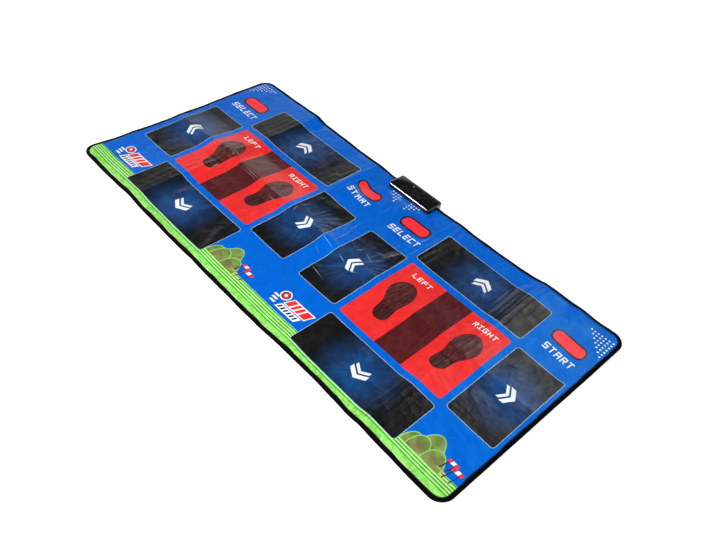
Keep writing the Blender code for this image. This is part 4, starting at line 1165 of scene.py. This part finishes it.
inks["cloth_back"] = backing_cloth()
film_finish = contact_film()
print("cloth and film ready")

# %% [markdown]
# ## Cover and pads
# On the real mat a pad is the part of the cover that a foot pushes in. Here it moves on its own
# body, so the cover has a window and the pad's skin fills it. Both take their height from the same
# formula, so no step shows at rest.

# %% Make the cover
LAYER_GAP = 0.0003
COVER_LOW = 0.0054
COVER_HIGH = 0.0066
TAPE_INSET = 0.0009
SCREW_HOLE = 0.0016
TAIL_RISE = 0.014
TAIL_PLAY = 0.0008
COVER_INKS = ("blue", "line", "red", "stripe", "ring", "white", "grass", "navy", "hill", "hill_edge",
              "hill_dry", "peach", "painted_crease_highlight", "painted_crease_sheen", "painted_crease_shade", "painted_crease_deep_shade",
              "cloth_back")


def area_of(outline, *holes):
    """The surveyor's formula, half the sum of the crossed products round the outline, less holes."""
    x, y = outline.T
    return 0.5 * abs(float(x @ np.roll(y, -1) - y @ np.roll(x, -1))) - sum(area_of(hole) for hole in holes)


def sides_of(outline):
    """Length of an outline along X and along Y."""
    return tuple(np.ptp(outline, axis=0))


def screw_holes():
    """Round holes in the mat's margin for the four clamp screws."""
    boxes = [plan_box(f"clamp_screw_{number}") for number in range(1, 5)]
    return [disc(*((low + high) / 2), SCREW_HOLE, 12) for low, high in boxes]


def tail_slots(front):
    """Slots for the two printed tails, from a given front to just behind the tails' rise."""
    slots = []
    for side in ("left", "right"):
        low, high = plan_box(f"sensor_tail_{side}")
        rise = low[1] + TAIL_RISE
        slots.append(quad(low[0] - TAIL_PLAY, rise - front, high[0] - low[0] + 2 * TAIL_PLAY, front + 0.0012))
    return slots


def inked(prints, names):
    """The same outlines with the numbers of their inks."""
    return [(outline, names.index(ink)) for outline, ink in prints]


def finish_piece(piece, materials, body, slot, *replaced):
    """Give a piece its materials and body, and hide the nodes it stands for. The slot is not used."""
    for material in materials:
        piece.data.materials.append(material)
    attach(piece, body)
    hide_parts(*replaced)
    return piece


def make_cover():
    """The printed sheet with sixteen windows, the holes for the screws and the slots for the tails."""
    outer = mat_outline(TAPE_INSET)
    holes = [pad_outline(pad) for pad in PADS] + screw_holes() + tail_slots(TAIL_PLAY)
    sheet = flat_sheet(outer, holes, inked(cover_prints(), COVER_INKS))
    cover = raised_sheet("printed_cover_sheet", sheet, COVER_LOW, COVER_HIGH, skin_height,
                         back_ink=COVER_INKS.index("cloth_back"))
    finish_piece(cover, [inks[name] for name in COVER_INKS], "mat", "printed_cover", "top_cover")
    area_of(outer, *holes)
    return cover


cover = make_cover()
print("cover triangles", len(cover.data.polygons))

# %% Make the pads
PAD_LATTICE = 0.0036
PATCH_DROPS = (0.0006, 0.0003)
PATCH_CORNER = 0.002
PAD_INKS = ("white", "sole", "sole_rim", "heel", "capsule", "painted_crease_sheen", "painted_crease_shade", "painted_sole_glint",
            "cloth_back")


def make_pad(pad):
    """A pad's skin in its window, with coordinates that start at its middle, in tenths of a metre."""
    name = pad.split("_", 1)[1]
    base, slot = "ring", "button_pad"
    if name in ARROW_TURNS:
        base, slot = "pad", "black_pad"
    if name.endswith("foot"):
        base, slot = "red", "red_pad"
    names = (base, *PAD_INKS)
    middle = sum(pad_box(pad)) / 2
    outline = pad_outline(pad, -SKIN_GAP)
    sheet = flat_sheet(outline, (), inked(pad_prints(pad), names), PAD_LATTICE)
    turn = -ARROW_TURNS.get(name, 0.0)
    skin = raised_sheet(f"{pad}_skin", sheet, COVER_LOW, COVER_HIGH, skin_height,
                        plan=lambda flat: turned((flat - middle) / 0.1, turn, 0, 0),
                        back_ink=names.index("cloth_back"))
    finish_piece(skin, [inks[ink] for ink in names], pad, slot, pad + "_pad")
    area_of(outline)
    return skin


def make_patch(pad):
    """The carbon patch under a pad, and it moves with the pad."""
    sheet = flat_sheet(rounded(*plan_box(pad + "_contact"), PATCH_CORNER, steps=3), step=2 * LATTICE)
    low, high = (COVER_LOW - drop for drop in PATCH_DROPS)
    patch = raised_sheet(f"{pad}_carbon_patch", sheet, low, high, fold_lift)
    finish_piece(patch, [carbon_finish], pad, "carbon_ink", pad + "_contact")


carbon_finish = carbon_ink()
skins = [make_pad(pad) for pad in PADS]
for pad in PADS:
    make_patch(pad)
print("pad triangles", sum(len(skin.data.polygons) for skin in skins))

# %% [markdown]
# ## The layers below
# Foam keeps the skin off the film, and the bottom cloth lies on the floor. The picture doesn't
# show them, but each is a piece of its own, with its holes and its place on the folds.

# %% Foam, film and bottom cloth
FOAM_GAP = 0.0010
CLOTH_INSET = 0.0113
PLATE_CORNER = 0.004
TAIL_RUN = 0.0148
FOAM_LEVELS = (0.0021, 0.0051)
FILM_LEVELS = (0.0013, 0.0018)
CLOTH_LEVELS = (0.0, 0.0010)


def make_inner(name, node, inset, holes, levels, finish, slot, sinks=(0, 0), drawn=False):
    """One inner layer between two levels; foam alone gives way under the tape and slides."""
    outer = mat_outline(inset)
    layer = raised_sheet(name, flat_sheet(outer, holes, step=2 * LATTICE), *levels, fold_lift, sinks=sinks,
                         drawn=drawn)
    finish_piece(layer, [finish], "mat", slot, node)
    return layer, sides_of(outer), area_of(outer, *holes)


plate_hole = rounded(*plan_box("clamp_plate"), PLATE_CORNER, LAYER_GAP, 4)
foam_holes = [pad_outline(pad, FOAM_GAP) for pad in PADS] + screw_holes() + tail_slots(TAIL_RUN)
foam, *_ = make_inner("foam_layer", "foam_spacer", TAPE_INSET, foam_holes, FOAM_LEVELS, foam_cells(),
                      "foam", (0, 1), drawn=True)
film, flat, area = make_inner("contact_film", "lower_film", TAPE_INSET, screw_holes(), FILM_LEVELS,
                              film_finish, "film")
under, flat, area = make_inner("bottom_cloth_sheet", "bottom_sheet", CLOTH_INSET, [plate_hole], CLOTH_LEVELS,
                               bottom_cloth(), "bottom_fabric")
print("layers", foam.name, film.name, under.name)

# %% [markdown]
# ## Tape round the edge
# A black woven tape is folded over the edge and sewn through. Its profile, which says how far in
# and how high each line lies, is carried along the mat's outline, whose normal says which way in
# is. The upper leg is drawn up a little between stitches.

# %% Tape
TAPE_WIDTH = 0.0126
LOWER_LEG = 0.0100
TAPE_THICK = 0.0006
TAPE_TOP = COVER_HIGH + LAYER_GAP + TAPE_THICK
TAPE_TURN = 0.0022
TAPE_BULGE = 0.0006
TAPE_GATHER = 0.00025
TAPE_STEP = 0.0055
STITCH_PITCH = 0.0042


def edge_path(step):
    """Points evenly along the mat's edge, the way inwards and ahead at each, and the length walked."""
    ring = spaced(mat_outline(steps=24), 0.002)
    walk = np.concatenate([[0], np.cumsum(np.hypot(*(np.roll(ring, -1, axis=0) - ring).T))])
    closed = np.concatenate([ring, ring[:1]])
    at = np.linspace(0, walk[-1], round(walk[-1] / step), endpoint=False)
    points = np.column_stack([np.interp(at, walk, closed[:, k]) for k in (0, 1)])
    ahead = np.roll(points, -1, axis=0) - np.roll(points, 1, axis=0)
    ahead /= np.hypot(*ahead.T)[:, None]
    return points, np.column_stack([-ahead[:, 1], ahead[:, 0]]), ahead, at


def tape_profile():
    """Inset and height round the tape's section: out along the upper leg, a half ellipse round the
    edge, in along the lower leg, and back along the inside."""
    turn = np.linspace(math.pi / 2, -math.pi / 2, 11)
    half, inner = TAPE_TOP / 2, TAPE_TOP - TAPE_THICK
    around = arc(TAPE_TURN, half, -(TAPE_TURN + TAPE_BULGE), half, turn)
    within = arc(TAPE_TURN, half, -(0.0016 + TAPE_BULGE), half - TAPE_THICK, turn[::-1])
    out = [(TAPE_WIDTH, TAPE_TOP - 0.0002), (TAPE_WIDTH - 0.0004, TAPE_TOP), (0.008, TAPE_TOP),
           (0.005, TAPE_TOP)]
    under = [(0.005, 0.0), (0.008, 0.0), (LOWER_LEG, 0.0), (LOWER_LEG + 0.0002, TAPE_THICK),
             (0.005, TAPE_THICK)]
    back = [(0.005, inner), (0.008, inner), (TAPE_WIDTH - 0.0002, inner)]
    return np.concatenate([out, around, under, within, back])


def tape_place(points, inwards, at, inset, level):
    """Where a point of the tape lies, from its inset and its level above the mat's underside."""
    x, y = (points + inwards * np.reshape(inset, (-1, 1))).T
    upper = smooth_step(level, 0.002, TAPE_TOP)
    gather = TAPE_GATHER * (1 + np.sin(math.tau * at / STITCH_PITCH / 3)) * smooth_step(inset, 0.002, 0.009)
    gather *= box_calm(x, y, 0.02)
    return np.column_stack([x, y, level + fold_lift(x, y) + upper * (gather - edge_sink(x, y))])


def tape_cloth():
    """Black woven tape: ribs across it every millimetre, broken by fine noise, with little gloss."""
    mix = Recipe("tape_cloth", Specular_IOR_Level=0.03)
    ribs = mix.node("TexWave", {"Vector": mix.plan(), "Scale": 160.0, "Distortion": 0.8, "Detail": 2.0,
                                   "Detail Scale": 3.0}, "Fac")
    fuzz = mix.noise(mix.place(), 700.0)
    weave = mix.times(ribs, fuzz)
    colour = mix.blend(weave, (0.0008, 0.0008, 0.0010), (0.0045, 0.0045, 0.0055))
    return mix.finish(colour, mix.span(fuzz, 0.3, 0.7, 0.50, 0.70), mix.bump(weave, 0.00022))


def make_tape():
    """The closed grid of the tape: along the edge and round its section."""
    points, inwards, _, at = edge_path(TAPE_STEP)
    profile = tape_profile()
    sway = 0.0007 * np.sin(at * 37) + 0.0005 * np.sin(at * 91 + 1)
    rows = [tape_place(points, inwards, at, inset + (sway if inset > 0.009 else 0.0), level)
            for inset, level in profile]
    index = np.arange(len(points) * len(profile)).reshape(len(points), -1)
    right, up = np.roll(index, -1, axis=0), np.roll(index, -1, axis=1)
    faces = np.stack([index, up, np.roll(right, -1, axis=1), right], axis=-1).reshape(-1, 4)
    section = np.concatenate([[0], np.cumsum(np.hypot(*np.diff(profile, axis=0).T))])
    plan = np.stack(np.broadcast_arrays(at[:, None], section[None, :]), axis=-1).reshape(-1, 2)
    tape = put_mesh("edge_tape", np.stack(rows, axis=1).reshape(-1, 3), faces, plan=plan, sharp=60)
    finish_piece(tape, [tape_cloth()], "mat", "binding_tape", "edge_binding")


make_tape()

# %% Stitches
STITCH_LENGTH = 0.0030
STITCH_RADIUS = 0.00028
STITCH_INSET = 0.0104
STITCH_ARCH = 0.00032
STITCH_SINK = 0.00012
RINGS = 5
RING_POINTS = 6


def thread():
    """Black thread: fine twisted noise in colour and bump."""
    mix = Recipe("thread_finish", Roughness=0.6, Sheen_Weight=0.2)
    twist = mix.noise(mix.place(), 2500.0, 1.0)
    return mix.finish(mix.blend(twist, (0.006, 0.006, 0.007), (0.026, 0.026, 0.030)),
                         normal=mix.bump(twist, 0.0001))


def make_stitches():
    """A row of thread on the tape: each stitch is a thin arch of six-sided rings that starts and
    ends in the tape. One broadcast places them all."""
    points, inwards, ahead, at = edge_path(STITCH_PITCH)
    rings = np.linspace(-1, 1, RINGS)
    turn = np.linspace(0, math.tau, RING_POINTS, endpoint=False)
    along = np.repeat(rings * STITCH_LENGTH / 2, RING_POINTS)
    across = np.tile(STITCH_RADIUS * np.cos(turn), RINGS)
    rise = np.add.outer(STITCH_ARCH * (1 - rings ** 2) - STITCH_SINK, STITCH_RADIUS * np.sin(turn)).ravel()
    step, side = np.arange(RINGS - 1)[:, None] * RING_POINTS, np.arange(RING_POINTS)[None, :]
    here, beside = step + side, step + (side + 1) % RING_POINTS
    quads = np.stack([here, here + RING_POINTS, beside + RING_POINTS, beside], axis=-1).reshape(-1, 4)
    one = np.concatenate([quads, [(0, 1, 2, 3), (0, 3, 4, 5), (24, 27, 26, 25), (24, 29, 28, 27)]])
    foot = tape_place(points, inwards, at, np.full(len(points), STITCH_INSET), TAPE_TOP)
    place = foot[:, None, :2] + ahead[:, None] * along[:, None] + inwards[:, None] * across[:, None]
    cloud = np.concatenate([place, foot[:, None, 2:] + rise[:, None]], axis=-1).reshape(-1, 3)
    faces = (one[None] + len(rise) * np.arange(len(points))[:, None, None]).reshape(-1, 4)
    stitches = put_mesh("tape_stitches", cloud, faces, sharp=50)
    stitches.data.materials.append(thread())
    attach(stitches, "mat")
    print("stitches", len(points))


make_stitches()

# %% [markdown]
# ## The control box
# A small glossy box is screwed to the back margin. Most of its nodes stay and get a finish. The
# visible ones are replaced by finer copies: merged, with their hard edges rounded a little, because
# a moulded edge always shows a thin line of light.

# %% Finishes of the box


def piano_black():
    """Glossy black plastic: almost no colour, smudges in the roughness, straight hairline scratches, and
    wandering arcs where a noise passes its middle, which are partly curved scratches and partly a painted
    faint reflection of wrinkles."""
    mix = Recipe("piano_black", IOR=1.52, Coat_Weight=0.5, Coat_Roughness=0.03)
    place = mix.place()
    smudge = mix.noise(place, 45.0, 4.0, 1.2)
    scratch = mix.noise(mix.stretched(place, (1.0, 0.05, 1.0), 0.5), 700.0, 3.0, 0.6)
    line = mix.span(scratch, 0.66, 0.72)
    # Wandering arcs: partly curved scratches, partly a painted reflection of wrinkles.
    scratch_and_reflection_arcs = mix.noise(place, 38.0, 1.0, 1.6)
    scratch_and_reflection_arcs = mix.times(mix.span(scratch_and_reflection_arcs, 0.500, 0.508), mix.span(scratch_and_reflection_arcs, 0.508, 0.516, 1.0, 0.0))
    scratch_and_reflection_arcs = mix.times(scratch_and_reflection_arcs, mix.span(mix.noise(place, 14.0, 1.0), 0.48, 0.56))
    # A lighter grey for the scratches, and for the painted reflection in the arcs.
    scratch_and_reflection_grey = (0.020, 0.020, 0.021)
    colour = mix.blend(mix.times(line, 0.06), (0.0004, 0.0004, 0.0005), scratch_and_reflection_grey)
    roughness = mix.span(mix.math("ADD", smudge, mix.times(line, 0.3)), 0.35, 1.0, 0.04, 0.16)
    return mix.finish(mix.blend(scratch_and_reflection_arcs, colour, scratch_and_reflection_grey), roughness, mix.bump(smudge, 0.00012, 0.25))


def moulded(name, colour, light, roughness, metallic=0.0):
    """Moulded or turned small parts: spark texture in colour, roughness and bump."""
    mix = Recipe(name, Metallic=metallic)
    spark = mix.noise(mix.place(), 1400.0)
    rough = mix.span(spark, 0.3, 0.7, roughness * 0.8, roughness * 1.2)
    return mix.finish(mix.blend(spark, colour, light), rough, mix.bump(spark, 0.00003, 0.6))


def board_finish():
    """Green solder mask over copper tracks: square cells of a brick pattern mark the tracks."""
    mix = Recipe("board_finish")
    bricks = mix.node("TexBrick", {
        "Vector": mix.place(), "Scale": 160.0, "Mortar Size": 0.04, "Color1": (0.008, 0.11, 0.04),
        "Color2": (0.012, 0.15, 0.055), "Mortar": (0.03, 0.26, 0.10)}).node.outputs
    return mix.finish(bricks["Color"], None, mix.bump(bricks["Fac"], 0.0001))


def lens_finish():
    """A milky grey lens."""
    mix = Recipe("lens_finish", Roughness=0.12)
    cloud = mix.noise(mix.place(), 900.0)
    return mix.finish(mix.blend(cloud, (0.36, 0.37, 0.39), (0.52, 0.53, 0.55)))


gloss = piano_black()
steel = moulded("brushed_steel", (0.52, 0.52, 0.54), (0.70, 0.70, 0.72), 0.28, 1.0)
plastic = moulded("socket_black", (0.014, 0.014, 0.016), (0.030, 0.030, 0.032), 0.42)
rubber = moulded("rubber_grey", (0.18, 0.18, 0.19), (0.26, 0.26, 0.27), 0.80)
print("box finishes ready")

# %% Finer copies of the box's nodes
HARD_EDGE = 35
# Node, copy, width of the rounded edge, finish, slot and, if not the mat, body.
FINER = (
    ("console_top", "console_lid", 0.00020, gloss, "case"),
    ("console_base", "console_tray", 0.00020, gloss, "case"),
    ("rear_panel", "socket_panel", 0.00015, gloss, "case"),
    ("video_socket", "video_socket_shell", 0.00010, steel, "steel"),
    ("power_socket", "power_socket_block", 0.00015, plastic, "black_plastic"),
    ("power_switch_knob", "switch_knob", 0.00020, plastic, "black_plastic", "power_switch"),
    ("indicator_lens", "indicator_window", 0.00015, lens_finish(), "lens"),
    ("clamp_plate", "clamp_plate_steel", 0.00010, steel, "steel"),
)


def finer_copy(node, name, edge, finish, slot, body="mat"):
    """A merged copy of a node with its coplanar triangles joined and its hard edges rounded."""
    bm = bmesh.new()
    bm.from_mesh(nodes[node].data)
    bmesh.ops.remove_doubles(bm, verts=bm.verts[:], dist=2e-6)
    bmesh.ops.dissolve_limit(bm, angle_limit=math.radians(0.5), verts=bm.verts[:], edges=bm.edges[:])
    mesh = bpy.data.meshes.new(name)
    bm.to_mesh(mesh)
    bm.free()
    piece = put_object(name, mesh, HARD_EDGE)
    bevel = piece.modifiers.new("edge", "BEVEL")
    bevel.width = edge
    bevel.segments = 2
    bevel.limit_method = "ANGLE"
    bevel.angle_limit = math.radians(HARD_EDGE)
    bevel.harden_normals = True
    bevel.use_clamp_overlap = True
    mesh.materials.clear()
    return finish_piece(piece, [finish], body, slot, node)


copies = [finer_copy(*values) for values in FINER]
print("finer copies", len(copies))

# %% [markdown]
# ### A strip of light for the box alone
# The photograph shows a white line along the front edge of the box. A strip lamp makes it, and it
# is linked to the upper case alone, so that it leaves the mat as it is.

# %% Strip of light
strip = softbox("edge_strip", (-0.75, 0.05, 1.35), (0.012, 0.36, 0.02), (0.9, 0.5), 150)
group = bpy.data.collections.new("edge_strip_pieces")
group.objects.link(copies[0])
strip.light_linking.receiver_collection = group
print("strip above the box")

# %% Finishes of the nodes that stay
KEPT = {
    steel: ("clamp_screw_1", "clamp_screw_2", "clamp_screw_3", "clamp_screw_4", "case_screw_left",
            "case_screw_right"),
    board_finish(): ("circuit_board",),
    plastic: ("processor_chip", "power_switch_body"),
    film_finish: ("sensor_tail_left", "sensor_tail_right"),
    rubber: ("tail_clamp_pad",),
}
for finish, names in KEPT.items():
    for name in names:
        for slot in nodes[name].material_slots:
            slot.material = finish
print("kept nodes", sum(len(names) for names in KEPT.values()))
